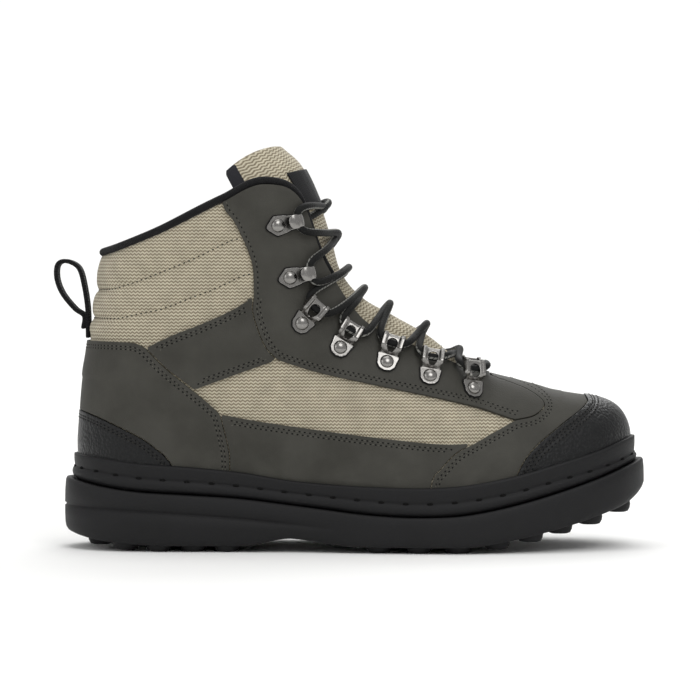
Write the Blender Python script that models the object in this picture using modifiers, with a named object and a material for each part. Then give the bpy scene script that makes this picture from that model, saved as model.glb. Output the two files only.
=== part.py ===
"""Wading boot for the right foot: lace-up, ankle high, on a thick studded rubber sole.

+X runs from heel to toe, +Y to the inner side of the foot, +Z up. The origin lies on the
floor below the middle of the boot. Everything is in metres.
"""

import bisect
import functools
import math

import bmesh
import bpy
import numpy as np
from mathutils import Matrix, Vector
from mathutils.bvhtree import BVHTree

MM = 0.001

# Driving sizes
UPPER_LENGTH = 294 * MM
BALL_WIDTH = 99 * MM
SHAFT_WIDTH = 82 * MM
SHAFT_HEIGHT = 196 * MM
RIM_HEIGHT = 51 * MM
LOOP_REACH = 5.5 * MM

# Thicknesses and clearances
WALL = 2.4 * MM
PANEL_LEATHER = 1.2 * MM
BUMPER_RUBBER = 1.8 * MM
GAP = 0.3 * MM
SEAM_GAP = 0.5 * MM
SEAT_CLEARANCE = 0.6 * MM
WELT_PLATE = 5 * MM
INSOLE_THICKNESS = 4 * MM
BINDING_RADIUS = 2.2 * MM
BINDING_SEAT = 0.7 * MM
LACE_RADIUS = 2 * MM

# Sole details
OUTSOLE_MARGIN = 10 * MM
OUTSOLE_SHOULDER = 8 * MM
WELT_MARGIN = 6 * MM
STITCH_GROOVE_DEPTH = 1.6 * MM
SIDE_GROOVE_DEPTH = 0.9 * MM
STUD_RADIUS = 7 * MM
STUD_TIP_RADIUS = 5.4 * MM
STUD_HEIGHT = 3.2 * MM
STUD_SIDES = 6

# Fittings
RIVET_RADIUS = 3.4 * MM
RIVET_SIDES = 6
HOLE_SIDES = 6
FITTING_THICKNESS = 1.8 * MM
RING_REACH = 10 * MM
RING_HALF_WIDTH = 6.5 * MM
HOOK_REACH = 14 * MM
HOOK_WIDTH = 8 * MM
HOOK_RADIUS = 3.6 * MM

LOOP_WIDTH = 16 * MM
LOOP_THICKNESS = 2.6 * MM

SOLE_LENGTH = UPPER_LENGTH + 2 * OUTSOLE_MARGIN
HEEL_X = (LOOP_REACH - SOLE_LENGTH) / 2
UPPER_X = HEEL_X + OUTSOLE_MARGIN

SIDES = {"lateral": -1, "medial": 1}
FEATHER_STEPS = 22
WALL_LEVELS = (0.0, 0.2, 0.4, 0.6, 0.8, 1.0)

# Feather line seen from above. Station is a share of UPPER_LENGTH, the rest of BALL_WIDTH.
PLAN_COLUMNS = ("station", "lateral", "medial", "axis")
PLAN = [
    (0.00, 0.000, 0.000, 0.000),
    (0.02, 0.190, 0.190, 0.000),
    (0.06, 0.295, 0.290, 0.000),
    (0.14, 0.352, 0.345, 0.000),
    (0.28, 0.365, 0.335, 0.000),
    (0.42, 0.395, 0.325, 0.000),
    (0.56, 0.470, 0.385, 0.004),
    (0.68, 0.515, 0.462, 0.018),
    (0.80, 0.480, 0.460, 0.038),
    (0.90, 0.380, 0.395, 0.054),
    (0.96, 0.262, 0.285, 0.065),
    (0.99, 0.138, 0.152, 0.070),
    (1.00, 0.000, 0.000, 0.070),
]

# Sole seen from the side. Station is a share of SOLE_LENGTH, the rest of RIM_HEIGHT. The base
# counts from the tips of the studs, which stand on the floor where it is zero.
SOLE_COLUMNS = ("station", "base", "side_groove", "top", "stitch", "rim")
SOLE = [
    (0.00, 0.127, 0.460, 0.755, 0.875, 1.010),
    (0.05, 0.062, 0.450, 0.690, 0.835, 0.985),
    (0.13, 0.012, 0.425, 0.620, 0.765, 0.920),
    (0.20, 0.000, 0.400, 0.595, 0.735, 0.890),
    (0.31, 0.000, 0.350, 0.550, 0.680, 0.825),
    (0.39, 0.082, 0.300, 0.490, 0.618, 0.745),
    (0.45, 0.032, 0.260, 0.445, 0.580, 0.710),
    (0.51, 0.000, 0.230, 0.400, 0.545, 0.690),
    (0.60, 0.000, 0.210, 0.370, 0.510, 0.675),
    (0.68, 0.000, 0.210, 0.390, 0.535, 0.700),
    (0.76, 0.067, 0.280, 0.480, 0.615, 0.785),
    (0.84, 0.177, 0.390, 0.610, 0.740, 0.915),
    (0.92, 0.317, 0.530, 0.765, 0.865, 1.055),
    (0.97, 0.437, 0.640, 0.880, 0.965, 1.165),
    (1.00, 0.577, 0.720, 0.950, 1.040, 1.210),
]

# Wall of the upper, heel to toe. Station and top_x are shares of UPPER_LENGTH, top_half of
# SHAFT_WIDTH, side_out and shoulder_out of BALL_WIDTH, the heights of SHAFT_HEIGHT.
WALL_COLUMNS = (
    "station", "side_out", "side_up", "shoulder_out", "shoulder_down",
    "top_x", "top_half", "top_z",
)
WALL_TABLE = [
    (0.00, 0.030, 0.195, 0.050, 0.200, 0.036, 0.000, 0.800),
    (0.02, 0.032, 0.195, 0.050, 0.200, 0.044, 0.190, 0.803),
    (0.06, 0.036, 0.190, 0.045, 0.210, 0.072, 0.350, 0.815),
    (0.14, 0.040, 0.185, 0.035, 0.230, 0.145, 0.470, 0.858),
    (0.28, 0.042, 0.185, 0.020, 0.260, 0.262, 0.500, 0.945),
    (0.36, 0.036, 0.190, 0.020, 0.290, 0.335, 0.470, 0.993),
    (0.42, 0.030, 0.190, 0.030, 0.290, 0.392, 0.400, 0.965),
    (0.50, 0.030, 0.180, 0.060, 0.170, 0.444, 0.310, 0.775),
    (0.56, 0.030, 0.170, 0.110, 0.090, 0.510, 0.275, 0.625),
    (0.62, 0.034, 0.160, 0.150, 0.060, 0.597, 0.260, 0.553),
    (0.68, 0.038, 0.150, 0.180, 0.040, 0.675, 0.235, 0.502),
    (0.735, 0.040, 0.140, 0.260, 0.010, 0.738, 0.000, 0.475),
    (0.80, 0.040, 0.135, 0.300, 0.000, 0.793, 0.000, 0.455),
    (0.90, 0.034, 0.125, 0.270, 0.000, 0.858, 0.000, 0.425),
    (0.96, 0.030, 0.118, 0.240, 0.000, 0.886, 0.000, 0.415),
    (1.00, 0.026, 0.112, 0.220, 0.000, 0.898, 0.000, 0.411),
]
THROAT_END = 0.735
BINDING_END = 0.52

# Tongue, from the foot of the throat to its top edge: x and z of the front of its middle
# line, half width and side drop as shares of SHAFT_WIDTH, thickness of WALL. The lean says how
# much of the middle line's slope its sides follow as they drop. The hump rounds its top edge.
TONGUE_COLUMNS = ("x", "z", "half", "drop", "thick", "lean")
TONGUE = [
    (0.768, 0.425, 0.150, 0.060, 1.1, 1.0),
    (0.704, 0.494, 0.180, 0.150, 1.3, 1.0),
    (0.638, 0.577, 0.250, 0.200, 1.5, 1.0),
    (0.573, 0.634, 0.280, 0.250, 1.7, 1.0),
    (0.512, 0.687, 0.292, 0.255, 1.8, 1.0),
    (0.474, 0.757, 0.315, 0.230, 2.1, 1.0),
    (0.456, 0.850, 0.340, 0.260, 2.5, 1.0),
    (0.434, 0.950, 0.375, 0.350, 2.8, 0.9),
    (0.403, 1.047, 0.385, 0.420, 2.8, 0.7),
    (0.367, 1.099, 0.345, 0.370, 2.2, 0.5),
]
TONGUE_HUMP = 3 * MM
TONGUE_ACROSS = 8
TONGUE_ROWS = 13

# Seams seen from the side, as shares of UPPER_LENGTH and SHAFT_HEIGHT
SEAMS = {
    "heel_top": [(-0.08, 0.569), (0.020, 0.569), (0.078, 0.568), (0.106, 0.564), (0.123, 0.552)],
    "heel_front": [(0.123, 0.552), (0.161, 0.495), (0.233, 0.407), (0.257, 0.373)],
    "heel_foot": [(0.257, 0.373), (0.270, 0.292), (0.274, 0.246), (0.273, 0.12)],
    "counter": [(-0.08, 0.385), (0.007, 0.376), (0.090, 0.326), (0.137, 0.284), (0.170, 0.230),
                (0.180, 0.12)],
    "strap_top": [(0.123, 0.552), (0.170, 0.586), (0.223, 0.617), (0.276, 0.653), (0.317, 0.690)],
    "strap_low": [(0.360, 0.518), (0.284, 0.478), (0.211, 0.438)],
    "stay_top": [(0.250, 1.10), (0.261, 0.942), (0.284, 0.886), (0.313, 0.784), (0.317, 0.690)],
    "stay_rear": [(0.317, 0.690), (0.316, 0.645), (0.336, 0.560), (0.360, 0.518)],
    "stay_low": [(0.360, 0.518), (0.431, 0.484), (0.524, 0.452), (0.687, 0.399), (0.789, 0.352)],
    "stay_lobe": [(0.789, 0.352), (0.825, 0.364), (0.843, 0.394), (0.812, 0.431), (0.748, 0.466)],
    "band_top": [(0.257, 0.373), (0.344, 0.350), (0.502, 0.317), (0.643, 0.294), (0.715, 0.294)],
    "vamp_tip": [(0.715, 0.294), (0.789, 0.352)],
    "vamp_rear": [(0.715, 0.294), (0.682, 0.269), (0.655, 0.228), (0.638, 0.191), (0.630, 0.08)],
    "toe_edge": [(0.921, 0.60), (0.922, 0.425), (0.921, 0.390), (0.866, 0.332), (0.816, 0.270),
                 (0.786, 0.192), (0.775, 0.08)],
}

# Where the rivets sit, seen from the side, top to bottom, and the rise of each fitting from
# its rivet towards the throat, in degrees
RIVETS = [
    ("hook", 0.358, 0.881, 13),
    ("hook", 0.380, 0.740, 13),
    ("ring", 0.402, 0.617, 48),
    ("ring", 0.471, 0.549, 58),
    ("ring", 0.556, 0.507, 73),
    ("ring", 0.634, 0.469, 80),
    ("ring", 0.709, 0.432, 82),
]
SEAT_PROBE = 10 * MM
LACE_LIFT = 0.9 * MM
LACE_PAIR_GAP = 0.8 * MM
LACE_STEPS = 8
LACE_ARCH = 16 * MM
LACE_ROUNDS = 80
TUCK_STATION = 0.452
TUCK_INSET = 6 * MM

# Studs of the tread: station along the sole, how many across, share of the half width
STUD_ROWS = [
    (0.066, 2, 0.55),
    (0.112, 3, 0.82),
    (0.168, 4, 0.84),
    (0.226, 3, 0.82),
    (0.283, 4, 0.84),
    (0.540, 4, 0.84),
    (0.607, 5, 0.86),
    (0.673, 4, 0.86),
    (0.738, 5, 0.86),
    (0.795, 4, 0.86),
    (0.846, 3, 0.80),
    (0.898, 4, 0.84),
    (0.950, 3, 0.70),
]

# Pull loop's middle line, from the tail up, over and back: shares of UPPER_LENGTH, SHAFT_HEIGHT
LOOP_PATH = [
    (0.009, 0.655), (0.002, 0.725), (-0.006, 0.765), (-0.020, 0.782), (-0.037, 0.786),
    (-0.047, 0.772), (-0.047, 0.735), (-0.036, 0.695), (-0.014, 0.655), (0.004, 0.630),
]
LOOP_TAIL = 0.575

COLOURS = {
    "rubber": ((0.020, 0.020, 0.021), 0.75, 0.0),
    "olive leather": ((0.055, 0.055, 0.048), 0.7, 0.0),
    "pebbled rubber": ((0.018, 0.018, 0.020), 0.55, 0.0),
    "mesh cloth": ((0.30, 0.26, 0.20), 0.9, 0.0),
    "black webbing": ((0.012, 0.012, 0.013), 0.9, 0.0),
    "gunmetal": ((0.25, 0.25, 0.26), 0.35, 1.0),
    "lace cord": ((0.03, 0.03, 0.03), 0.85, 0.0),
}


def around(share):
    """Turns a share of the length into a step round the outline, close-set at its ends."""
    return math.acos(1 - 2 * min(max(share, 0.0), 1.0)) / math.pi


def along(u):
    return (1 - math.cos(math.pi * u)) / 2


TABLES = {
    "plan": (PLAN_COLUMNS, PLAN, [around(row[0]) for row in PLAN]),
    "sole": (SOLE_COLUMNS, SOLE, [row[0] for row in SOLE]),
    "wall": (WALL_COLUMNS, WALL_TABLE, [around(row[0]) for row in WALL_TABLE]),
    "tongue": (TONGUE_COLUMNS, TONGUE, [k / (len(TONGUE) - 1) for k in range(len(TONGUE))]),
}


@functools.lru_cache(maxsize=None)
def column(table, name, flat):
    """Places, values and slopes of one column; the ends are level where flat is set."""
    columns, rows, at = TABLES[table]
    values = [float(row[columns.index(name)]) for row in rows]
    slope = [float(s) for s in np.gradient(values, at)]
    for k in range(1, len(at) - 1):
        if (values[k] - values[k - 1]) * (values[k + 1] - values[k]) <= 0:
            slope[k] = 0.0
    if flat:
        slope[0] = slope[-1] = 0.0
    return at, values, slope


def read(table, name, where, flat=False):
    """Smooth value of one named column of a table."""
    at, values, slope = column(table, name, flat)
    where = min(max(where, at[0]), at[-1])
    k = min(bisect.bisect_right(at, where) - 1, len(at) - 2)
    span = at[k + 1] - at[k]
    t = (where - at[k]) / span
    return (
        values[k] * (1 + 2 * t) * (1 - t) ** 2
        + slope[k] * span * t * (1 - t) ** 2
        + values[k + 1] * t * t * (3 - 2 * t)
        + slope[k + 1] * span * t * t * (t - 1)
    )


def axis_y(u):
    return BALL_WIDTH * read("plan", "axis", u, flat=True)


def feather(u, side):
    """Point of the feather line, seen from above."""
    word = "lateral" if side < 0 else "medial"
    width = BALL_WIDTH * read("plan", word, u)
    return np.array([UPPER_X + UPPER_LENGTH * along(u), axis_y(u) + side * width])


def outward(u, side):
    """Direction square to the feather line, away from the foot."""
    step = 1e-3
    low, high = max(u - step, 0.0), min(u + step, 1.0)
    a, b = feather(low, side), feather(high, side)
    if u < step or u > 1 - step:
        return np.array([-1.0 if u < 0.5 else 1.0, 0.0])
    t = b - a
    n = np.array([-t[1], t[0]]) * side
    return n / np.linalg.norm(n)


def sole_height(name, x):
    """Height of one line of the sole's side at a place along it."""
    share = (x - HEEL_X) / SOLE_LENGTH
    height = RIM_HEIGHT * read("sole", name, share)
    return height + STUD_HEIGHT if name == "base" else height


def floor_height(x):
    return sole_height("top", x) + GAP + WELT_PLATE


def wall_value(name, u, flat=True):
    return read("wall", name, u, flat)


@functools.lru_cache(maxsize=None)
def wall(u, side, t):
    """Point of the upper's outer face: u from heel to toe, t from the feather to the top edge."""
    edge = feather(u, side)
    out = outward(u, side)
    foot = np.array([edge[0], edge[1], floor_height(edge[0]) + GAP])
    push = BALL_WIDTH * wall_value("side_out", u)
    flank = foot + np.array([out[0] * push, out[1] * push, SHAFT_HEIGHT * wall_value("side_up", u)])
    if u > around(THROAT_END):
        half = 0.0
    else:
        half = SHAFT_WIDTH * wall_value("top_half", u, flat=False)
    top = np.array([
        UPPER_X + UPPER_LENGTH * wall_value("top_x", u),
        axis_y(u) + side * half,
        SHAFT_HEIGHT * wall_value("top_z", u),
    ])
    push = BALL_WIDTH * wall_value("shoulder_out", u)
    drop = SHAFT_HEIGHT * wall_value("shoulder_down", u)
    shoulder = top + np.array([out[0] * push, out[1] * push, -drop])
    return (
        foot * (1 - t) ** 3
        + flank * 3 * t * (1 - t) ** 2
        + shoulder * 3 * t * t * (1 - t)
        + top * t ** 3
    )


@functools.lru_cache(maxsize=None)
def wall_normal(u, side, t):
    step = 4e-3
    ridge = t == 1.0 and u > around(THROAT_END)
    if ridge:
        side = -1
    if u in (0.0, 1.0):
        across = np.array([0.0, side if u == 0.0 else -side, 0.0])
    else:
        across = wall(min(u + step, 1.0), side, t) - wall(max(u - step, 0.0), side, t)
    up = wall(u, side, min(t + step, 1.0)) - wall(u, side, max(t - step, 0.0))
    n = np.cross(across, up) * -side
    if u in (0.0, 1.0) or ridge:
        n[1] = 0.0
    return n / np.linalg.norm(n)


def skin(u, side, t, lift):
    """Point a distance outside the upper's outer face, or inside it where lift is negative."""
    return wall(u, side, t) + wall_normal(u, side, t) * lift


@functools.lru_cache(maxsize=None)
def wall_share(u, side, height):
    """Share of the wall curve at which it reaches a height."""
    low, high = 0.0, 0.6
    for _ in range(24):
        mid = (low + high) / 2
        if wall(u, side, mid)[2] < height:
            low = mid
        else:
            high = mid
    return (low + high) / 2


def ring(point):
    """Closed row of points round the boot, from the heel along the lateral side and back."""
    steps = [k / FEATHER_STEPS for k in range(FEATHER_STEPS + 1)]
    out = [point(u, -1) for u in steps]
    back = [point(u, 1) for u in reversed(steps[1:-1])]
    return out + back


def loft(bm, rings):
    """Skins closed rows of points, one to the next."""
    rows = [[bm.verts.new(Vector(p)) for p in row] for row in rings]
    count = len(rows[0])
    for low, high in zip(rows, rows[1:]):
        for k in range(count):
            n = (k + 1) % count
            bm.faces.new((low[k], low[n], high[n], high[k]))
    return rows


def cap(bm, row):
    """Closes a row across the boot, one strip from side to side at each step."""
    half = len(row) // 2
    for k in range(half):
        lateral = (row[k], row[k + 1])
        medial = (row[-k - 1], row[-k]) if k else (row[-1], row[0])
        corners = []
        for v in (lateral[0], lateral[1], medial[0], medial[1]):
            if v not in corners:
                corners.append(v)
        bm.faces.new(corners)


def material(kind):
    known = bpy.data.materials.get(kind)
    if known:
        return known
    colour, roughness, metallic = COLOURS[kind]
    made = bpy.data.materials.new(kind)
    made.use_nodes = True
    shader = made.node_tree.nodes["Principled BSDF"]
    shader.inputs["Base Color"].default_value = (*colour, 1.0)
    shader.inputs["Roughness"].default_value = roughness
    shader.inputs["Metallic"].default_value = metallic
    made.diffuse_color = (*colour, 1.0)
    return made


def to_object(bm, name, kind, collection, merge=1e-5):
    """Turns a bmesh into a named, shaded object."""
    bmesh.ops.remove_doubles(bm, verts=bm.verts, dist=merge)
    bmesh.ops.recalc_face_normals(bm, faces=bm.faces)
    mesh = bpy.data.meshes.new(name)
    bm.to_mesh(mesh)
    bm.free()
    obj = bpy.data.objects.new(name, mesh)
    if kind:
        mesh.materials.append(material(kind))
    mesh.shade_smooth()
    mesh.set_sharp_from_angle(angle=math.radians(40))
    collection.objects.link(obj)
    return obj


def hide_cutter(obj):
    obj.hide_render = True
    obj.display_type = "WIRE"
    return obj


def boolean(obj, other, operation):
    made = obj.modifiers.new(f"{operation.lower()} {other.name}", "BOOLEAN")
    made.operation = operation
    made.solver = "EXACT"
    made.object = other
    return made


def shell(obj, thickness, offset):
    made = obj.modifiers.new("wall", "SOLIDIFY")
    made.thickness = thickness
    made.offset = offset
    made.use_quality_normals = True
    return made


def smooth_line(points, steps=2):
    """Rounds a short list of points into a curve through them."""
    if len(points) < 3:
        return list(points)
    p = [np.array(q, dtype=float) for q in points]
    p = [2 * p[0] - p[1]] + p + [2 * p[-1] - p[-2]]
    out = []
    for k in range(1, len(p) - 2):
        for s in range(steps):
            t = s / steps
            out.append(
                0.5 * (
                    2 * p[k]
                    + (p[k + 1] - p[k - 1]) * t
                    + (2 * p[k - 1] - 5 * p[k] + 4 * p[k + 1] - p[k + 2]) * t * t
                    + (3 * p[k] - p[k - 1] - 3 * p[k + 1] + p[k + 2]) * t ** 3
                )
            )
    out.append(p[-2])
    return out


def side_point(share):
    """Side-view shares turned into x and z."""
    return np.array([UPPER_X + UPPER_LENGTH * share[0], SHAFT_HEIGHT * share[1]])


def outline(*parts):
    """Joins seams, corner points and reversed seams into one side-view outline."""
    points = []
    for part in parts:
        if isinstance(part, str):
            back = part.startswith("-")
            line = smooth_line(SEAMS[part.lstrip("-")])
            points += list(reversed(line)) if back else line
        else:
            points.append(np.array(part))
    points = [side_point(p) for p in points]
    kept = []
    for p in points:
        if not kept or np.linalg.norm(p - kept[-1]) > 0.3 * MM:
            kept.append(p)
    if np.linalg.norm(kept[0] - kept[-1]) < 0.3 * MM:
        kept.pop()
    return kept


def shrink(points, distance):
    """Moves a closed outline inwards by a distance."""
    count = len(points)
    area = sum(
        points[k][0] * points[(k + 1) % count][1] - points[(k + 1) % count][0] * points[k][1]
        for k in range(count)
    )
    turn = 1 if area > 0 else -1
    moved = []
    for k in range(count):
        a = points[k] - points[k - 1]
        b = points[(k + 1) % count] - points[k]
        na = np.array([-a[1], a[0]]) / np.linalg.norm(a) * turn
        nb = np.array([-b[1], b[0]]) / np.linalg.norm(b) * turn
        mid = na + nb
        mid = mid / max(np.linalg.norm(mid), 1e-9)
        stretch = 1 / max(float(np.dot(mid, na)), 0.5)
        moved.append(points[k] + mid * distance * stretch)
    return moved


def prism(name, points, low, high, collection):
    """Side-view outline pulled out from one y to another, as a cutter."""
    bm = bmesh.new()
    face = bm.faces.new([bm.verts.new((p[0], low, p[1])) for p in points])
    pulled = bmesh.ops.extrude_face_region(bm, geom=[face])
    moved = [g for g in pulled["geom"] if isinstance(g, bmesh.types.BMVert)]
    bmesh.ops.translate(bm, verts=moved, vec=(0, high - low, 0))
    return hide_cutter(to_object(bm, name, None, collection))


@functools.lru_cache(maxsize=None)
def rim_share(u, side):
    """Share of the wall curve just above the rubber rim."""
    return wall_share(u, side, sole_height("rim", feather(u, side)[0]) + GAP * 2)


def skin_surface(lift, whole=False):
    """Open surface a distance outside the upper, from the rim or the feather to the top edge."""
    rings = [ring(lambda u, side: skin(u, side, 0.0, lift))] if whole else []
    for level in WALL_LEVELS:
        def point(u, side, level=level):
            start = rim_share(u, side)
            return skin(u, side, start + (1 - start) * level, lift)
        rings.append(ring(point))
    bm = bmesh.new()
    loft(bm, rings)
    bmesh.ops.triangulate(bm, faces=bm.faces, quad_method="FIXED")
    return bm


def make_upper(parts):
    obj = to_object(skin_surface(0.0, whole=True), "upper", "mesh cloth", parts)
    shell(obj, WALL, -1.0)
    return obj


def make_panel(name, kind, thickness, points, parts, cutters, side=0):
    """Overlay of the upper: a shell just outside it, kept inside one side-view outline."""
    obj = to_object(skin_surface(GAP), name, kind, parts)
    shell(obj, thickness, 1.0)
    far = BALL_WIDTH
    middle = axis_y(around(THROAT_END))
    low = -far if side <= 0 else middle + GAP
    high = far if side >= 0 else middle - GAP
    cutter = prism(f"{name}_outline", shrink(points, SEAM_GAP / 2), low, high, cutters)
    boolean(obj, cutter, "INTERSECT")
    return obj


def make_panels(parts, cutters):
    olive = "olive leather"
    below = 0.05
    above = 1.15
    heel = outline("heel_top", "heel_front", "heel_foot", (0.273, below), (0.185, below), "-counter")
    make_panel("heel_panel", olive, PANEL_LEATHER, heel, parts, cutters)
    counter = outline("counter", (0.180, below), (-0.08, below))
    make_panel("heel_counter", "pebbled rubber", BUMPER_RUBBER, counter, parts, cutters)
    vamp = outline(
        "-vamp_rear", "vamp_tip", "stay_lobe", (0.745, 0.60), (0.90, 0.60), "toe_edge",
        (0.775, below), (0.630, below),
    )
    make_panel("vamp_panel", olive, PANEL_LEATHER, vamp, parts, cutters)
    toe = outline("toe_edge", (0.775, below), (1.10, below), (1.10, 0.60))
    make_panel("toe_cap", "pebbled rubber", BUMPER_RUBBER, toe, parts, cutters)
    strap = outline("strap_top", "stay_rear", "strap_low", (0.211, 0.438), (0.161, 0.495))
    stay = outline(
        "stay_top", "stay_rear", "stay_low", "stay_lobe", (0.735, 0.60), (0.50, above),
        (0.25, above),
    )
    band = outline("-heel_foot", "band_top", "vamp_rear", (0.630, below), (0.273, below))
    for word, side in SIDES.items():
        make_panel(f"ankle_strap_{word}", olive, PANEL_LEATHER, strap, parts, cutters, side)
        make_panel(f"eyestay_{word}", olive, PANEL_LEATHER, stay, parts, cutters, side)
        make_panel(f"side_band_{word}", olive, PANEL_LEATHER, band, parts, cutters, side)


def make_welt(parts):
    """Rubber rim of two rolls with a stitch groove between them, and the plate under the foot."""
    def side_ring(out, low, high, share, lift=0.0):
        def point(u, side):
            edge = feather(u, side) + outward(u, side) * out
            a, b = sole_height(low, edge[0]), sole_height(high, edge[0])
            return (edge[0], edge[1], a + (b - a) * share + lift)
        return ring(point)

    waist = WELT_MARGIN - STITCH_GROOVE_DEPTH
    rings = [
        side_ring(WELT_MARGIN - MM, "top", "stitch", 0.0, GAP),
        side_ring(WELT_MARGIN, "top", "stitch", 0.50),
        side_ring(waist, "top", "stitch", 0.96),
        side_ring(waist, "stitch", "rim", 0.06),
        side_ring(WELT_MARGIN - MM, "stitch", "rim", 0.36),
        side_ring(WELT_MARGIN - MM, "stitch", "rim", 0.72),
        side_ring(WELT_MARGIN / 2, "stitch", "rim", 1.0),
        ring(lambda u, side: skin(u, side, rim_share(u, side) * 0.94, GAP)),
        ring(lambda u, side: skin(u, side, 0.0, GAP) - np.array([0.0, 0.0, GAP])),
    ]
    bm = bmesh.new()
    rows = loft(bm, rings)
    cap(bm, rows[0])
    cap(bm, rows[-1])
    return to_object(bm, "welt", "rubber", parts)


def make_insole(parts):
    inset = WALL + SEAT_CLEARANCE

    def level(height, bevel):
        def point(u, side):
            edge = feather(u, side) - outward(u, side) * (inset + bevel)
            return (edge[0], edge[1], floor_height(edge[0]) + GAP + height)
        return ring(point)

    bm = bmesh.new()
    rows = loft(bm, [level(0.0, 0.0), level(INSOLE_THICKNESS - MM, 0.0), level(INSOLE_THICKNESS, MM)])
    cap(bm, rows[0])
    cap(bm, rows[-1])
    return to_object(bm, "insole", "black webbing", parts)


def make_outsole(parts, cutters):
    """Outsole with its side groove round the heel, and studs on heel and forefoot."""
    def level(out, low, high, share, lift=0.0, groove=0.0):
        def point(u, side):
            fade = 1.0 - min(max((along(u) - 0.36) / 0.12, 0.0), 1.0)
            edge = feather(u, side) + outward(u, side) * (out - groove * fade)
            a, b = sole_height(low, edge[0]), sole_height(high, edge[0])
            return (edge[0], edge[1], a + (b - a) * share + lift)
        return ring(point)

    full = OUTSOLE_MARGIN
    rings = [
        level(full - 3 * MM, "base", "top", 0.0),
        level(full - 0.5 * MM, "base", "top", 0.09),
        level(full, "side_groove", "top", 0.0, -MM),
        level(full, "side_groove", "top", 0.0, 0.0, SIDE_GROOVE_DEPTH),
        level(full, "side_groove", "top", 0.0, MM),
        level((full + OUTSOLE_SHOULDER) / 2, "side_groove", "top", 0.88),
        level(OUTSOLE_SHOULDER, "side_groove", "top", 1.0),
    ]
    bm = bmesh.new()
    rows = loft(bm, rings)
    cap(bm, rows[0])
    cap(bm, rows[-1])
    obj = to_object(bm, "outsole", "rubber", parts)
    boolean(obj, make_studs(cutters), "UNION")
    return obj


def sole_edges(x):
    """Lateral and medial y of the outsole's foot at a place along it."""
    u = around((x - UPPER_X) / UPPER_LENGTH)
    margin = OUTSOLE_MARGIN - 3 * MM
    return feather(u, -1)[1] - margin, feather(u, 1)[1] + margin


def make_studs(cutters):
    bm = bmesh.new()
    sunk = 3 * MM
    for station, count, spread in STUD_ROWS:
        x = HEEL_X + SOLE_LENGTH * station
        low, high = sole_edges(x)
        middle, half = (low + high) / 2, (high - low) / 2 * spread
        bottom = sole_height("base", x) - STUD_HEIGHT
        for k in range(count):
            y = middle - half + 2 * half * k / (count - 1)
            place = Matrix.Translation((x, y, bottom + (STUD_HEIGHT + sunk) / 2))
            bmesh.ops.create_cone(
                bm, cap_ends=True, segments=STUD_SIDES, radius1=STUD_TIP_RADIUS,
                radius2=STUD_RADIUS, depth=STUD_HEIGHT + sunk,
                matrix=place @ Matrix.Rotation(math.pi / STUD_SIDES, 4, "Z"),
            )
    return hide_cutter(to_object(bm, "studs", None, cutters))


@functools.lru_cache(maxsize=None)
def tongue_row(b):
    """Middle point, inward direction and sizes of the tongue at a share of its length."""
    def middle(where):
        return np.array([
            UPPER_X + UPPER_LENGTH * read("tongue", "x", where),
            SHAFT_HEIGHT * read("tongue", "z", where),
        ])

    step = 0.01
    run = middle(min(b + step, 1.0)) - middle(max(b - step, 0.0))
    run = run / np.linalg.norm(run)
    inward = np.array([-abs(run[1]), -abs(run[0]) * read("tongue", "lean", b)])
    inward = inward / np.linalg.norm(inward)
    return (
        middle(b), inward, SHAFT_WIDTH * read("tongue", "half", b),
        SHAFT_WIDTH * read("tongue", "drop", b), WALL * read("tongue", "thick", b),
    )


def tongue_point(b, a, depth):
    """Point of the tongue: b along it, a across it from -1 to 1, depth below its front face."""
    middle, inward, half, drop, thick = tongue_row(b)
    edge = math.sqrt(max(1 - abs(a) ** 6, 0.0))
    flat = middle + inward * (drop * a * a + depth * thick * (0.35 + 0.65 * edge))
    flat = flat + np.array([0.0, TONGUE_HUMP * 4 * a * a * (1 - a * a) * b ** 6])
    y = axis_y(around(min(max((flat[0] - UPPER_X) / UPPER_LENGTH, 0.0), 1.0))) + half * a
    return np.array([flat[0], y, flat[1]])


def make_tongue(parts):
    """Padded tongue under the laces, curved round the shin."""
    rows = TONGUE_ROWS
    across = [2 * k / TONGUE_ACROSS - 1 for k in range(TONGUE_ACROSS + 1)]
    rings = []
    for k in range(rows + 1):
        b = k / rows
        front = [tongue_point(b, a, 0.0) for a in across]
        back = [tongue_point(b, a, 1.0) for a in reversed(across)]
        rings.append(front + back)
    bm = bmesh.new()
    made = loft(bm, rings)
    count = len(across)
    for row in (made[0], made[-1]):
        for k in range(count - 1):
            bm.faces.new((row[k], row[k + 1], row[-k - 2], row[-k - 1]))
    return to_object(bm, "tongue", "mesh cloth", parts)


def make_tube(name, points, radius, kind, collection):
    """Round cord or piping along a row of points, as a closed mesh."""
    curve = bpy.data.curves.new(name, "CURVE")
    curve.dimensions = "3D"
    curve.bevel_depth = radius
    curve.bevel_resolution = 1
    curve.use_fill_caps = True
    spline = curve.splines.new("POLY")
    spline.points.add(len(points) - 1)
    for k, p in enumerate(points):
        spline.points[k].co = (*p, 1.0)
    guide = bpy.data.objects.new(f"{name}_guide", curve)
    collection.objects.link(guide)
    graph = bpy.context.evaluated_depsgraph_get()
    mesh = bpy.data.meshes.new_from_object(guide.evaluated_get(graph))
    bpy.data.objects.remove(guide)
    bm = bmesh.new()
    bm.from_mesh(mesh)
    bpy.data.meshes.remove(mesh)
    return to_object(bm, name, kind, collection)


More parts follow.
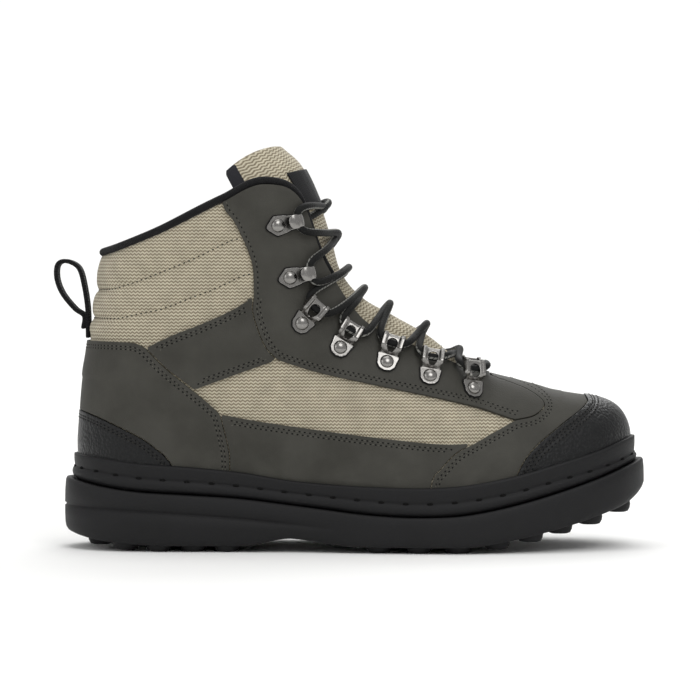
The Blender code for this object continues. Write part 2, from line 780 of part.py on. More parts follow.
def make_binding(parts):
    """Padded binding that stands on the edge of the collar and the top of the throat."""
    end = around(BINDING_END)
    steps = [k / FEATHER_STEPS for k in range(FEATHER_STEPS + 1) if k / FEATHER_STEPS < end]
    middle = (PANEL_LEATHER - WALL) / 2
    corners = 6
    step = 4e-3

    def section(u, side):
        edge = skin(u, side, 1.0, middle)
        run = wall(u + step, side, 1.0) - wall(max(u - step, 0.0), side, 1.0)
        if u == 0.0:
            run = np.array([0.0, side, 0.0])
        run = run / np.linalg.norm(run)
        rise = wall(u, side, 1.0) - wall(u, side, 1.0 - step)
        rise = rise - run * np.dot(rise, run)
        rise = rise / np.linalg.norm(rise)
        normal = np.cross(run, rise) * -side
        points = []
        for k in range(corners):
            turn = -math.pi / 2 + 2 * math.pi * (k + 0.5) / corners
            out = BINDING_RADIUS * 1.1 * math.cos(turn)
            up = BINDING_RADIUS * (math.sin(turn) + math.cos(math.pi / corners)) + BINDING_SEAT
            points.append(edge + normal * out + rise * up)
        return points

    sections = [section(u, -1) for u in reversed(steps)] + [section(u, 1)[::-1] for u in steps[1:]]
    medial = [row[-1:] + row[:-1] for row in sections[len(steps):]]
    sections = sections[:len(steps)] + medial
    bm = bmesh.new()
    rows = loft(bm, sections)
    bm.faces.new(rows[0])
    bm.faces.new(rows[-1])
    return to_object(bm, "collar_binding", "black webbing", parts)


def make_pull_loop(parts):
    """Webbing loop sewn to the back of the collar, with a short tail below it."""
    path = smooth_line([side_point(p) for p in LOOP_PATH])
    half = LOOP_THICKNESS / 2
    outer = []
    inner = []
    for k, p in enumerate(path):
        run = path[min(k + 1, len(path) - 1)] - path[max(k - 1, 0)]
        n = np.array([run[1], -run[0]]) / np.linalg.norm(run)
        outer.append(p + n * half)
        inner.append(p - n * half)
    tail = SHAFT_HEIGHT * LOOP_TAIL
    curve = bpy.data.curves.new("pull_loop", "CURVE")
    curve.dimensions = "2D"
    curve.fill_mode = "BOTH"
    curve.extrude = LOOP_WIDTH / 2
    foot = side_point(LOOP_PATH[0])
    skirt = [np.array([foot[0] - half, tail]), np.array([foot[0] + half, tail])]
    for line in (skirt + outer, inner):
        spline = curve.splines.new("POLY")
        spline.points.add(len(line) - 1)
        for k, p in enumerate(line):
            spline.points[k].co = (p[0], p[1], 0.0, 1.0)
        spline.use_cyclic_u = True
    guide = bpy.data.objects.new("pull_loop_guide", curve)
    guide.rotation_euler = (math.pi / 2, 0, 0)
    parts.objects.link(guide)
    bpy.context.view_layer.update()
    graph = bpy.context.evaluated_depsgraph_get()
    mesh = bpy.data.meshes.new_from_object(guide.evaluated_get(graph))
    mesh.transform(guide.matrix_world)
    bpy.data.objects.remove(guide)
    bm = bmesh.new()
    bm.from_mesh(mesh)
    bpy.data.meshes.remove(mesh)
    return to_object(bm, "pull_loop", "black webbing", parts)


def seat(x, z, side):
    """Place on the upper that has a given x and z, on one side."""
    best = (0.5, 0.5)
    span = (0.5, 0.5)
    for _ in range(7):
        tries = [
            (
                min(max(best[0] + span[0] * i / 8, 0.0), 1.0),
                min(max(best[1] + span[1] * j / 8, 0.0), 1.0),
            )
            for i in range(-8, 9) for j in range(-8, 9)
        ]
        def miss(where):
            p = wall(where[0], side, where[1])
            return (p[0] - x) ** 2 + (p[2] - z) ** 2
        best = min(tries, key=miss)
        span = (span[0] / 4, span[1] / 4)
    return best


def fitting_frame(share, side, pitch, forward):
    """Frame of a rivet: x along the eyestay, y to the throat, z out of the leather."""
    x, z = side_point(share)
    run = (math.cos(math.radians(pitch)), math.sin(math.radians(pitch)))
    u, t = seat(x + run[0] * forward, z + run[1] * forward, side)
    n = Vector(wall_normal(u, side, t))
    level = Vector((run[0], 0.0, run[1]))
    toward = (level - n * level.dot(n)).normalized()
    across = toward.cross(n)
    place = Vector(skin(u, side, t, GAP + PANEL_LEATHER)) - toward * forward
    return Matrix((
        (across.x, toward.x, n.x, place.x),
        (across.y, toward.y, n.y, place.y),
        (across.z, toward.z, n.z, place.z),
        (0, 0, 0, 1),
    ))


def seat_on(frame, rows, surfaces):
    """Raises a fitting until its flat outline clears the leather under it."""
    normal = frame.to_3x3() @ Vector((0, 0, 1))
    need = 0.0
    for share in (0.0, 0.5, 0.8, 1.0):
        for p in rows:
            middle = RING_REACH / 2
            above = frame @ Vector((p[0] * share, middle + (p[1] - middle) * share, SEAT_PROBE))
            for surface in surfaces:
                hit, _, _, distance = surface.ray_cast(above, -normal, SEAT_PROBE * 2)
                if hit:
                    need = max(need, SEAT_PROBE - distance)
    return Matrix.Translation(normal * (need + GAP)) @ frame


def plate(bm, rows, thickness, low=0.0):
    """Flat plate with a closed outline, from its bottom up."""
    face = bm.faces.new([bm.verts.new((p[0], p[1], low)) for p in rows])
    pulled = bmesh.ops.extrude_face_region(bm, geom=[face])
    moved = [g for g in pulled["geom"] if isinstance(g, bmesh.types.BMVert)]
    bmesh.ops.translate(bm, verts=moved, vec=(0, 0, thickness))


def tab_outline(reach, half_width, tail):
    """Leaf-shaped plate: a tail behind the rivet, shoulders beside the lace."""
    right = [
        (0.0, -tail), (RIVET_RADIUS * 0.9, -RIVET_RADIUS), (RIVET_RADIUS * 1.2, 0.0),
        (half_width, reach * 0.62), (half_width, reach * 1.1), (half_width * 0.6, reach * 1.5),
    ]
    return right + [(-p[0], p[1]) for p in reversed(right[1:])]


def fitting_outline(kind):
    if kind == "ring":
        return tab_outline(RING_REACH, RING_HALF_WIDTH, RIVET_RADIUS * 1.3)
    return tab_outline(HOOK_REACH * 0.55, HOOK_WIDTH / 2, RIVET_RADIUS * 2)


def make_fitting(name, kind, frame, parts, cutters):
    """Ring or hook: a leaf-shaped plate with its rivet, and an eye or a curl for the lace."""
    bm = bmesh.new()
    plate(bm, fitting_outline(kind), FITTING_THICKNESS)
    obj = to_object(bm, name, "gunmetal", parts)
    bm = bmesh.new()
    bmesh.ops.create_cone(
        bm, cap_ends=True, segments=RIVET_SIDES, radius1=RIVET_RADIUS, radius2=RIVET_RADIUS * 0.6,
        depth=FITTING_THICKNESS,
        matrix=Matrix.Translation((0, 0, FITTING_THICKNESS * 1.2)),
    )
    rivet = hide_cutter(to_object(bm, f"{name}_rivet", None, cutters))
    rivet.matrix_world = frame
    obj.matrix_world = frame
    boolean(obj, rivet, "UNION")
    bm = bmesh.new()
    if kind == "ring":
        hole = [
            (RING_HALF_WIDTH * 0.62 * math.cos(2 * math.pi * (k + 0.5) / HOLE_SIDES),
             RING_REACH * (1 + 0.28 * math.sin(2 * math.pi * (k + 0.5) / HOLE_SIDES)))
            for k in range(HOLE_SIDES)
        ]
        plate(bm, hole, FITTING_THICKNESS * 3, -FITTING_THICKNESS)
        hole = hide_cutter(to_object(bm, f"{name}_hole", None, cutters))
        hole.matrix_world = frame
        boolean(obj, hole, "DIFFERENCE")
        return obj
    profile = hook_profile()
    face = bm.faces.new([bm.verts.new((-HOOK_WIDTH / 2 * 0.8, p[0], p[1])) for p in profile])
    pulled = bmesh.ops.extrude_face_region(bm, geom=[face])
    moved = [g for g in pulled["geom"] if isinstance(g, bmesh.types.BMVert)]
    bmesh.ops.translate(bm, verts=moved, vec=(HOOK_WIDTH * 0.8, 0, 0))
    curl = hide_cutter(to_object(bm, f"{name}_curl", None, cutters))
    curl.matrix_world = frame
    boolean(obj, curl, "UNION")
    return obj


def hook_profile():
    """Side of the hook: it runs out from the plate and curls back over the lace."""
    inner = HOOK_RADIUS - FITTING_THICKNESS * 0.7
    start, sweep = -math.pi / 2, math.radians(230)
    middle = (HOOK_REACH * 0.62, HOOK_RADIUS)
    count = 6
    outer_arc = [
        (middle[0] + HOOK_RADIUS * math.cos(start + sweep * k / count),
         middle[1] + HOOK_RADIUS * math.sin(start + sweep * k / count))
        for k in range(count + 1)
    ]
    inner_arc = [
        (middle[0] + inner * math.cos(start + sweep * k / count),
         middle[1] + inner * math.sin(start + sweep * k / count))
        for k in range(count + 1)
    ]
    base = HOOK_RADIUS - inner
    return [(HOOK_REACH * 0.2, 0.0)] + outer_arc + list(reversed(inner_arc)) + [(HOOK_REACH * 0.2, base)]


def make_fittings(parts, cutters):
    frames = {}
    graph = bpy.context.evaluated_depsgraph_get()
    for word, side in SIDES.items():
        under = [parts.objects[name] for name in (f"eyestay_{word}", "vamp_panel", "upper")]
        surfaces = [BVHTree.FromObject(obj, graph) for obj in under]
        for k, (kind, x, z, pitch) in enumerate(RIVETS):
            frame = fitting_frame((x, z), side, pitch, RING_REACH / 2)
            frame = seat_on(frame, fitting_outline(kind), surfaces)
            frames[(word, k)] = frame
            make_fitting(f"lace_{kind}_{word}_{k + 1}", kind, frame, parts, cutters)
    return frames


def lace_end(frames, word, k, turn):
    """Where a lace leaves a ring or hook, clear of its metal: turn is 1 towards the toe."""
    kind = RIVETS[k][0]
    reach = RING_REACH * 1.5 if kind == "ring" else HOOK_REACH * 0.96
    along_stay = turn * -SIDES[word] * (LACE_RADIUS + LACE_PAIR_GAP / 2)
    lift = FITTING_THICKNESS + LACE_RADIUS + GAP
    local = (along_stay, reach + LACE_RADIUS * 0.6, lift)
    return np.array(frames[(word, k)] @ Vector(local))


def clear_of(point, surfaces, distance):
    """Moves a point out until it is a distance from every surface."""
    for surface in surfaces:
        near, _, _, gap = surface.find_nearest(point)
        if gap < distance:
            point = near + (point - near).normalized() * distance
    return point


def strand(start, end, surfaces):
    """Taut row of points between two ends, clear of the surfaces under it."""
    distance = LACE_RADIUS + LACE_LIFT
    start = clear_of(Vector(start), surfaces, distance)
    end = clear_of(Vector(end), surfaces, distance)
    shares = [k / LACE_STEPS for k in range(LACE_STEPS + 1)]
    up = Vector((1.0, 0.0, 1.2)) * LACE_ARCH
    points = [start.lerp(end, s) + up * math.sqrt(math.sin(math.pi * s)) for s in shares[:-1]]
    points.append(end)
    for done in range(LACE_ROUNDS):
        for k in range(1, LACE_STEPS):
            if done < LACE_ROUNDS * 0.6:
                points[k] = (points[k - 1] + points[k + 1]) / 2
            points[k] = clear_of(points[k], surfaces, distance)
        for k in range(LACE_STEPS):
            for share in (0.25, 0.5, 0.75):
                place = points[k].lerp(points[k + 1], share)
                push = clear_of(place, surfaces, distance) - place
                if k > 0:
                    points[k] = points[k] + push
                if k + 1 < LACE_STEPS:
                    points[k + 1] = points[k + 1] + push
    return points


def make_crossing(name, pairs, surfaces, parts, cutters):
    """Strands that cross over the tongue, joined where they meet."""
    lines = [strand(a, b, surfaces) for a, b in pairs]
    obj = make_tube(name, lines[0], LACE_RADIUS, "lace cord", parts)
    for line in lines[1:]:
        other = make_tube(f"{name}_over", line, LACE_RADIUS, None, cutters)
        boolean(obj, hide_cutter(other), "UNION")
    return obj


def make_laces(frames, parts, cutters):
    """Lace over the tongue: a bar at the foot, crossings up the throat, two tucked ends."""
    graph = bpy.context.evaluated_depsgraph_get()
    under = ["tongue", "collar_binding", "vamp_panel", "upper"]
    under += [f"eyestay_{word}" for word in SIDES]
    surfaces = [BVHTree.FromObject(parts.objects[name], graph) for name in under]
    last = len(RIVETS) - 1
    for k in range(last):
        low = {word: lace_end(frames, word, k + 1, -1) for word in SIDES}
        high = {word: lace_end(frames, word, k, 1) for word in SIDES}
        pairs = [(low["lateral"], high["medial"]), (low["medial"], high["lateral"])]
        make_crossing(f"lace_crossing_{k + 1}", pairs, surfaces, parts, cutters)
    foot = [lace_end(frames, word, last, 1) for word in SIDES]
    make_crossing("lace_bar", [foot], surfaces, parts, cutters)
    tucks = {}
    for word, side in SIDES.items():
        edge = wall(around(TUCK_STATION), side, 1.0) - np.array([0.0, side * TUCK_INSET, 0.0])
        tucks[word] = clear_of(Vector(edge), surfaces[:1], LACE_RADIUS + LACE_LIFT)
    pairs = [
        (lace_end(frames, "lateral", 0, -1), tucks["medial"]),
        (lace_end(frames, "medial", 0, -1), tucks["lateral"]),
    ]
    make_crossing("lace_ends", pairs, surfaces, parts, cutters)


def clear_scene():
    for obj in list(bpy.data.objects):
        bpy.data.objects.remove(obj)


def new_collection(name):
    made = bpy.data.collections.new(name)
    bpy.context.scene.collection.children.link(made)
    return made


def main():
    clear_scene()
    parts = new_collection("wading_boot")
    cutters = new_collection("cutters")
    make_outsole(parts, cutters)
    make_welt(parts)
    make_insole(parts)
    make_upper(parts)
    make_tongue(parts)
    make_panels(parts, cutters)
    make_binding(parts)
    make_pull_loop(parts)
    frames = make_fittings(parts, cutters)
    make_laces(frames, parts, cutters)


main()
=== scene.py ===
"""Looks of a lace-up wading boot: cloth, leather, rubber, seams, stitches, fittings and lace.

Everything is in metres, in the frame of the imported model: +X to the toe, +Y to the inner side
of the foot, +Z up.
"""

import bisect
import functools
import math

import bmesh
import bpy
import numpy as np
from mathutils import Matrix, Vector
from mathutils.bvhtree import BVHTree


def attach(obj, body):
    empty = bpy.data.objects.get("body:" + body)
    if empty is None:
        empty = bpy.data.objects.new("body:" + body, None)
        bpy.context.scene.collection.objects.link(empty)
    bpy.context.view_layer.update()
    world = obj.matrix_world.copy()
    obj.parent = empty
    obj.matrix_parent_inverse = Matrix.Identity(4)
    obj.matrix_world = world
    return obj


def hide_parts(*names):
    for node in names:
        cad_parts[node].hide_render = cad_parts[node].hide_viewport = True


bl_info = {
    "name": "Wading boot looks",
    "version": (1, 0, 0),
    "blender": (4, 5, 0),
    "location": "3D View > Sidebar > Boot",
    "description": "Builds the visible pieces and materials of a wading boot",
    "category": "Object",
}

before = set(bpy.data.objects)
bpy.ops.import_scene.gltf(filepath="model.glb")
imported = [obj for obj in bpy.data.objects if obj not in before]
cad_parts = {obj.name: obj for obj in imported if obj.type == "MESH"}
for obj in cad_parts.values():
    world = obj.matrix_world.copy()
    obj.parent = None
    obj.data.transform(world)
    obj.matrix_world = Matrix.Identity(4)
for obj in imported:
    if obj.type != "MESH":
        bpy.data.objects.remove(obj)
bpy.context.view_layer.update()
MM = 0.001

# Sizes of the frame's own model
UPPER_LENGTH = 294 * MM
BALL_WIDTH = 99 * MM
SHAFT_WIDTH = 82 * MM
SHAFT_HEIGHT = 196 * MM
RIM_HEIGHT = 51 * MM
LOOP_REACH = 5.5 * MM
GAP = 0.3 * MM
WALL = 2.4 * MM
WELT_PLATE = 5 * MM
OUTSOLE_MARGIN = 10 * MM
OUTSOLE_SHOULDER = 8 * MM
WELT_MARGIN = 6 * MM
STITCH_GROOVE_DEPTH = 1.6 * MM
SIDE_GROOVE_DEPTH = 0.9 * MM
STUD_HEIGHT = 3.2 * MM
BINDING_RADIUS = 2.15 * MM
LOOP_THICKNESS = 2.2 * MM
PATCH_WIDTH = 34 * MM
PATCH_HEIGHT = 20 * MM
PATCH_FOOT = 187 * MM
PATCH_THICKNESS = 0.9 * MM
SOLE_LENGTH = UPPER_LENGTH + 2 * OUTSOLE_MARGIN
HEEL_X = (LOOP_REACH - SOLE_LENGTH) / 2
UPPER_X = HEEL_X + OUTSOLE_MARGIN
THROAT_END = 0.735
SIDES = {"lateral": -1, "medial": 1}

# Feather line seen from above, as shares of the length and of the ball's width
PLAN_COLUMNS = ("station", "lateral", "medial", "axis")
PLAN = [
    (0.00, 0.000, 0.000, 0.000), (0.02, 0.190, 0.190, 0.000), (0.06, 0.295, 0.290, 0.000),
    (0.14, 0.352, 0.345, 0.000), (0.28, 0.365, 0.335, 0.000), (0.42, 0.395, 0.325, 0.000),
    (0.56, 0.470, 0.385, 0.004), (0.68, 0.515, 0.462, 0.018), (0.80, 0.480, 0.460, 0.038),
    (0.90, 0.380, 0.395, 0.054), (0.96, 0.262, 0.285, 0.065), (0.99, 0.138, 0.152, 0.070),
    (1.00, 0.000, 0.000, 0.070),
]

# Sole seen from the side, as shares of the sole's length and of the rim's height
SOLE_COLUMNS = ("station", "base", "side_groove", "top", "stitch", "rim")
SOLE = [
    (0.00, 0.127, 0.460, 0.755, 0.875, 1.010), (0.05, 0.062, 0.450, 0.690, 0.835, 0.985),
    (0.13, 0.012, 0.425, 0.620, 0.765, 0.920), (0.20, 0.000, 0.400, 0.595, 0.735, 0.890),
    (0.31, 0.000, 0.350, 0.550, 0.680, 0.825), (0.39, 0.082, 0.300, 0.490, 0.618, 0.745),
    (0.45, 0.032, 0.260, 0.445, 0.580, 0.710), (0.51, 0.000, 0.230, 0.400, 0.545, 0.690),
    (0.60, 0.000, 0.210, 0.370, 0.510, 0.675), (0.68, 0.000, 0.210, 0.390, 0.535, 0.700),
    (0.76, 0.067, 0.280, 0.480, 0.615, 0.785), (0.84, 0.177, 0.390, 0.610, 0.740, 0.915),
    (0.92, 0.317, 0.530, 0.765, 0.865, 1.055), (0.97, 0.437, 0.640, 0.880, 0.965, 1.165),
    (1.00, 0.577, 0.720, 0.950, 1.040, 1.210),
]

# Wall of the upper, heel to toe, as shares of the length, the widths and the shaft's height
WALL_COLUMNS = (
    "station", "side_out", "side_up", "shoulder_out", "shoulder_down",
    "top_x", "top_half", "top_z",
)
WALL_TABLE = [
    (0.00, 0.030, 0.195, 0.050, 0.200, 0.036, 0.000, 0.800),
    (0.02, 0.032, 0.195, 0.050, 0.200, 0.044, 0.190, 0.803),
    (0.06, 0.036, 0.190, 0.045, 0.210, 0.072, 0.350, 0.815),
    (0.14, 0.040, 0.185, 0.035, 0.230, 0.145, 0.470, 0.858),
    (0.28, 0.042, 0.185, 0.020, 0.260, 0.262, 0.500, 0.945),
    (0.36, 0.036, 0.190, 0.020, 0.290, 0.335, 0.470, 0.993),
    (0.42, 0.030, 0.190, 0.030, 0.290, 0.392, 0.400, 0.965),
    (0.50, 0.030, 0.180, 0.060, 0.170, 0.444, 0.310, 0.775),
    (0.56, 0.030, 0.170, 0.110, 0.090, 0.510, 0.275, 0.625),
    (0.62, 0.034, 0.160, 0.150, 0.060, 0.597, 0.260, 0.553),
    (0.68, 0.038, 0.150, 0.180, 0.040, 0.675, 0.235, 0.502),
    (0.735, 0.040, 0.140, 0.260, 0.010, 0.738, 0.000, 0.475),
    (0.80, 0.040, 0.135, 0.300, 0.000, 0.793, 0.000, 0.455),
    (0.90, 0.034, 0.125, 0.270, 0.000, 0.858, 0.000, 0.425),
    (0.96, 0.030, 0.118, 0.240, 0.000, 0.886, 0.000, 0.415),
    (1.00, 0.026, 0.112, 0.220, 0.000, 0.898, 0.000, 0.411),
]

# Tongue, from the foot of the throat to its top edge
TONGUE_COLUMNS = ("x", "z", "half", "drop", "thick", "lean")
TONGUE = [
    (0.768, 0.425, 0.150, 0.060, 1.1, 1.0), (0.704, 0.494, 0.180, 0.150, 1.3, 1.0),
    (0.638, 0.577, 0.250, 0.200, 1.5, 1.0), (0.573, 0.634, 0.280, 0.250, 1.7, 1.0),
    (0.512, 0.687, 0.292, 0.255, 1.8, 1.0), (0.474, 0.757, 0.315, 0.230, 2.1, 1.0),
    (0.456, 0.850, 0.340, 0.260, 2.5, 1.0), (0.434, 0.950, 0.375, 0.350, 2.8, 0.9),
    (0.403, 1.047, 0.385, 0.420, 2.8, 0.7), (0.367, 1.099, 0.345, 0.370, 2.2, 0.5),
]
TONGUE_HUMP = 3 * MM

# Seams seen from the side, as shares of the upper's length and the shaft's height
SEAMS = {
    "heel_top": [(-0.08, 0.569), (0.020, 0.569), (0.078, 0.568), (0.106, 0.564), (0.123, 0.552)],
    "heel_front": [(0.123, 0.552), (0.161, 0.495), (0.233, 0.407), (0.257, 0.373)],
    "heel_foot": [(0.257, 0.373), (0.270, 0.292), (0.274, 0.246), (0.273, 0.12)],
    "counter": [(-0.08, 0.385), (0.007, 0.376), (0.090, 0.326), (0.137, 0.284), (0.170, 0.230),
                (0.180, 0.12)],
    "strap_top": [(0.123, 0.552), (0.170, 0.586), (0.223, 0.617), (0.276, 0.653), (0.317, 0.690)],
    "strap_low": [(0.360, 0.518), (0.284, 0.478), (0.211, 0.438)],
    "stay_top": [(0.250, 1.10), (0.261, 0.942), (0.284, 0.886), (0.313, 0.784), (0.317, 0.690)],
    "stay_rear": [(0.317, 0.690), (0.316, 0.645), (0.336, 0.560), (0.360, 0.518)],
    "stay_low": [(0.360, 0.518), (0.431, 0.484), (0.524, 0.452), (0.687, 0.399), (0.789, 0.352)],
    "stay_lobe": [(0.789, 0.352), (0.825, 0.364), (0.843, 0.394), (0.812, 0.431), (0.748, 0.466)],
    "band_top": [(0.257, 0.373), (0.344, 0.350), (0.502, 0.317), (0.643, 0.294), (0.715, 0.294)],
    "vamp_tip": [(0.715, 0.294), (0.789, 0.352)],
    "vamp_rear": [(0.715, 0.294), (0.682, 0.269), (0.655, 0.228), (0.638, 0.191), (0.630, 0.08)],
    "toe_edge": [(0.921, 0.60), (0.922, 0.425), (0.921, 0.390), (0.866, 0.332), (0.816, 0.270),
                 (0.786, 0.192), (0.775, 0.08)],
}
LOW = 0.05

# Overlays: outline, rows of stitches along its seams, and its finish
PANELS = {
    "heel_panel": (
        ("heel_top", "heel_front", "heel_foot", (0.273, LOW), (0.185, LOW), "-counter"),
        {"heel_top": 2, "heel_front": 2, "heel_foot": 2}, "olive_leather",
    ),
    "heel_counter": (("counter", (0.180, LOW), (-0.08, LOW)), {"counter": 2}, "pebbled_rubber"),
    "vamp_panel": (
        ("-vamp_rear", "vamp_tip", "stay_lobe", (0.745, 0.60), (0.90, 0.60), "toe_edge",
         (0.775, LOW), (0.630, LOW)),
        {"vamp_rear": 2, "vamp_tip": 2, "stay_lobe": 2}, "olive_leather",
    ),
    "toe_cap": (
        ("toe_edge", (0.775, LOW), (1.10, LOW), (1.10, 0.60)), {"toe_edge": 3}, "pebbled_rubber",
    ),
    "ankle_strap": (
        ("strap_top", "stay_rear", "strap_low", (0.211, 0.438), (0.161, 0.495)),
        {"strap_top": 2, "strap_low": 2}, "olive_leather",
    ),
    "eyestay": (
        ("stay_top", "stay_rear", "stay_low", "stay_lobe", (0.735, 0.60), (0.50, 1.15),
         (0.25, 1.15)),
        {"stay_top": 1, "stay_rear": 2, "stay_low": 2}, "olive_leather",
    ),
    "side_band": (
        ("-heel_foot", "band_top", "vamp_rear", (0.630, LOW), (0.273, LOW)),
        {"band_top": 2}, "olive_leather",
    ),
}
THICKNESS = {"heel_counter": 1.9 * MM, "toe_cap": 1.9 * MM, "eyestay": 1.7 * MM,
             "heel_panel": 1.6 * MM, "vamp_panel": 1.3 * MM}

# Quilting of the collar
QUILTS = [
    [(-0.08, 0.700), (0.036, 0.708), (0.065, 0.712), (0.104, 0.730), (0.144, 0.752),
     (0.197, 0.784), (0.236, 0.811), (0.281, 0.845)],
    [(-0.08, 0.631), (0.035, 0.631), (0.070, 0.631), (0.104, 0.641), (0.157, 0.659),
     (0.210, 0.690), (0.249, 0.712), (0.302, 0.750)],
]

# Rivets of the fittings: kind, place and rise towards the throat in degrees
RIVETS = [
    ("hook", 0.358, 0.881, 13), ("hook", 0.380, 0.740, 13), ("ring", 0.402, 0.617, 48),
    ("ring", 0.471, 0.549, 58), ("ring", 0.556, 0.507, 73), ("ring", 0.634, 0.469, 80),
    ("ring", 0.709, 0.432, 82),
]

# Studs of the tread: station along the sole, how many across, share of the half width
STUD_ROWS = [
    (0.066, 2, 0.55), (0.112, 3, 0.82), (0.168, 4, 0.84), (0.226, 3, 0.82), (0.283, 4, 0.84),
    (0.540, 4, 0.84), (0.607, 5, 0.86), (0.673, 4, 0.86), (0.738, 5, 0.86), (0.795, 4, 0.86),
    (0.846, 3, 0.80), (0.898, 4, 0.84), (0.950, 3, 0.70),
]

# Pull loop's middle line, from the foot of its tail up, over and back down
LOOP_PATH = [
    (0.010, 0.575), (0.009, 0.655), (0.002, 0.725), (-0.006, 0.765), (-0.020, 0.782),
    (-0.037, 0.786), (-0.047, 0.772), (-0.047, 0.735), (-0.036, 0.695), (-0.014, 0.655),
    (0.003, 0.635), (0.001, 0.600),
]


def linear(code):
    """sRGB hex colour as linear red, green and blue."""
    parts = [int(code[k:k + 2], 16) / 255 for k in (1, 3, 5)]
    return tuple(p / 12.92 if p <= 0.04045 else ((p + 0.055) / 1.055) ** 2.4 for p in parts)


def colour_property(name, description, code):
    return bpy.props.FloatVectorProperty(
        name=name, description=description, subtype="COLOR", size=3, min=0.0, max=1.0,
        default=linear(code),
    )


def size_property(name, description, millimetres):
    return bpy.props.FloatProperty(
        name=name, description=description, unit="LENGTH", precision=4,
        default=millimetres * MM, min=0.0,
    )


class BootSizes(bpy.types.PropertyGroup):
    """Sizes of what the dressing adds to the boot"""

    stitch_pitch: size_property("Stitch pitch", "From one stitch to the next", 2.8)
    stitch_length: size_property("Stitch length", "Thread that shows of one stitch", 1.7)
    stitch_width: size_property("Stitch width", "Width of the thread on the leather", 0.62)
    first_row: size_property("First row", "From a panel's edge to its first row", 2.1)
    row_step: size_property("Row step", "From one row of stitches to the next", 1.7)
    edge_round: size_property("Edge rounding", "Rounding of the cut leather edges", 0.35)
    leather_puff: size_property("Leather puff", "Rise of a panel inside its stitches", 0.45)
    collar_puff: size_property("Collar puff", "Rise of the collar between its quilting", 1.5)
    quilt_depth: size_property("Quilt depth", "Depth of the quilting's troughs", 0.9)
    welt_pitch: size_property("Welt stitch pitch", "From one welt stitch to the next", 13.0)
    lace_width: size_property("Lace width", "Diameter of the round lace", 4.0)
    metal_sheet: size_property("Metal sheet", "Thickness of the pressed fittings", 0.9)


class BootColours(bpy.types.PropertyGroup):
    """Colours of the boot's materials"""

    mesh_light: colour_property("Mesh ridge", "Ridges of the tan mesh cloth", "#c3bba6")
    mesh_mid: colour_property("Mesh yarn", "Body of the tan mesh cloth", "#a59c87")
    mesh_dark: colour_property("Mesh gap", "Gaps between the ridges", "#7a705d")
    leather: colour_property("Leather", "Olive grey leather", "#363530")
    leather_light: colour_property("Leather wear", "Paler places of the leather", "#41403b")
    pebble: colour_property("Pebbled rubber", "Black toe cap and heel counter", "#08090a")
    rubber: colour_property("Sole rubber", "Black sole and welt", "#161617")
    binding: colour_property("Binding", "Black knitted binding and webbing", "#0f0f11")
    thread: colour_property("Thread", "Grey sewing thread", "#46453f")
    metal: colour_property("Metal", "Dark nickel of the hooks and rings", "#8a8885")
    lace: colour_property("Lace", "Black lace cord", "#090a09")
    tracer: colour_property("Lace tracer", "Grey yarn in the lace", "#7d7d78")
    floor: colour_property("Floor", "Plain pale floor", "#fbfbfa")


# ---- shape of the upper and the sole


def around(share):
    """Turns a share of the length into a step round the outline, close-set at its ends."""
    return math.acos(1 - 2 * min(max(share, 0.0), 1.0)) / math.pi


def along(u):
    return (1 - math.cos(math.pi * u)) / 2


TABLES = {
    "plan": (PLAN_COLUMNS, PLAN, [around(row[0]) for row in PLAN]),
    "sole": (SOLE_COLUMNS, SOLE, [row[0] for row in SOLE]),
    "wall": (WALL_COLUMNS, WALL_TABLE, [around(row[0]) for row in WALL_TABLE]),
    "tongue": (TONGUE_COLUMNS, TONGUE, [k / (len(TONGUE) - 1) for k in range(len(TONGUE))]),
}


@functools.lru_cache(maxsize=None)
def column(table, name, flat):
    """Places, values and slopes of one column; the ends are level where flat is set."""
    columns, rows, at = TABLES[table]
    values = [float(row[columns.index(name)]) for row in rows]
    slope = [float(s) for s in np.gradient(values, at)]
    for k in range(1, len(at) - 1):
        if (values[k] - values[k - 1]) * (values[k + 1] - values[k]) <= 0:
            slope[k] = 0.0
    if flat:
        slope[0] = slope[-1] = 0.0
    return at, values, slope


def read(table, name, where, flat=False):
    """Smooth value of one named column of a table."""
    at, values, slope = column(table, name, flat)
    where = min(max(where, at[0]), at[-1])
    k = min(bisect.bisect_right(at, where) - 1, len(at) - 2)
    span = at[k + 1] - at[k]
    t = (where - at[k]) / span
    return (
        values[k] * (1 + 2 * t) * (1 - t) ** 2 + slope[k] * span * t * (1 - t) ** 2
        + values[k + 1] * t * t * (3 - 2 * t) + slope[k + 1] * span * t * t * (t - 1)
    )


def axis_y(u):
    return BALL_WIDTH * read("plan", "axis", u, flat=True)


def feather(u, side):
    """Point of the feather line, seen from above."""
    width = BALL_WIDTH * read("plan", "lateral" if side < 0 else "medial", u)
    return np.array([UPPER_X + UPPER_LENGTH * along(u), axis_y(u) + side * width])


@functools.lru_cache(maxsize=None)
def outward(u, side):
    """Direction square to the feather line, away from the foot."""
    step = 1e-3
    if u < step or u > 1 - step:
        return np.array([-1.0 if u < 0.5 else 1.0, 0.0])
    t = feather(u + step, side) - feather(u - step, side)
    n = np.array([-t[1], t[0]]) * side
    return n / np.linalg.norm(n)


def sole_height(name, x):
    """Height of one line of the sole's side at a place along it."""
    height = RIM_HEIGHT * read("sole", name, (x - HEEL_X) / SOLE_LENGTH)
    return height + STUD_HEIGHT if name == "base" else height


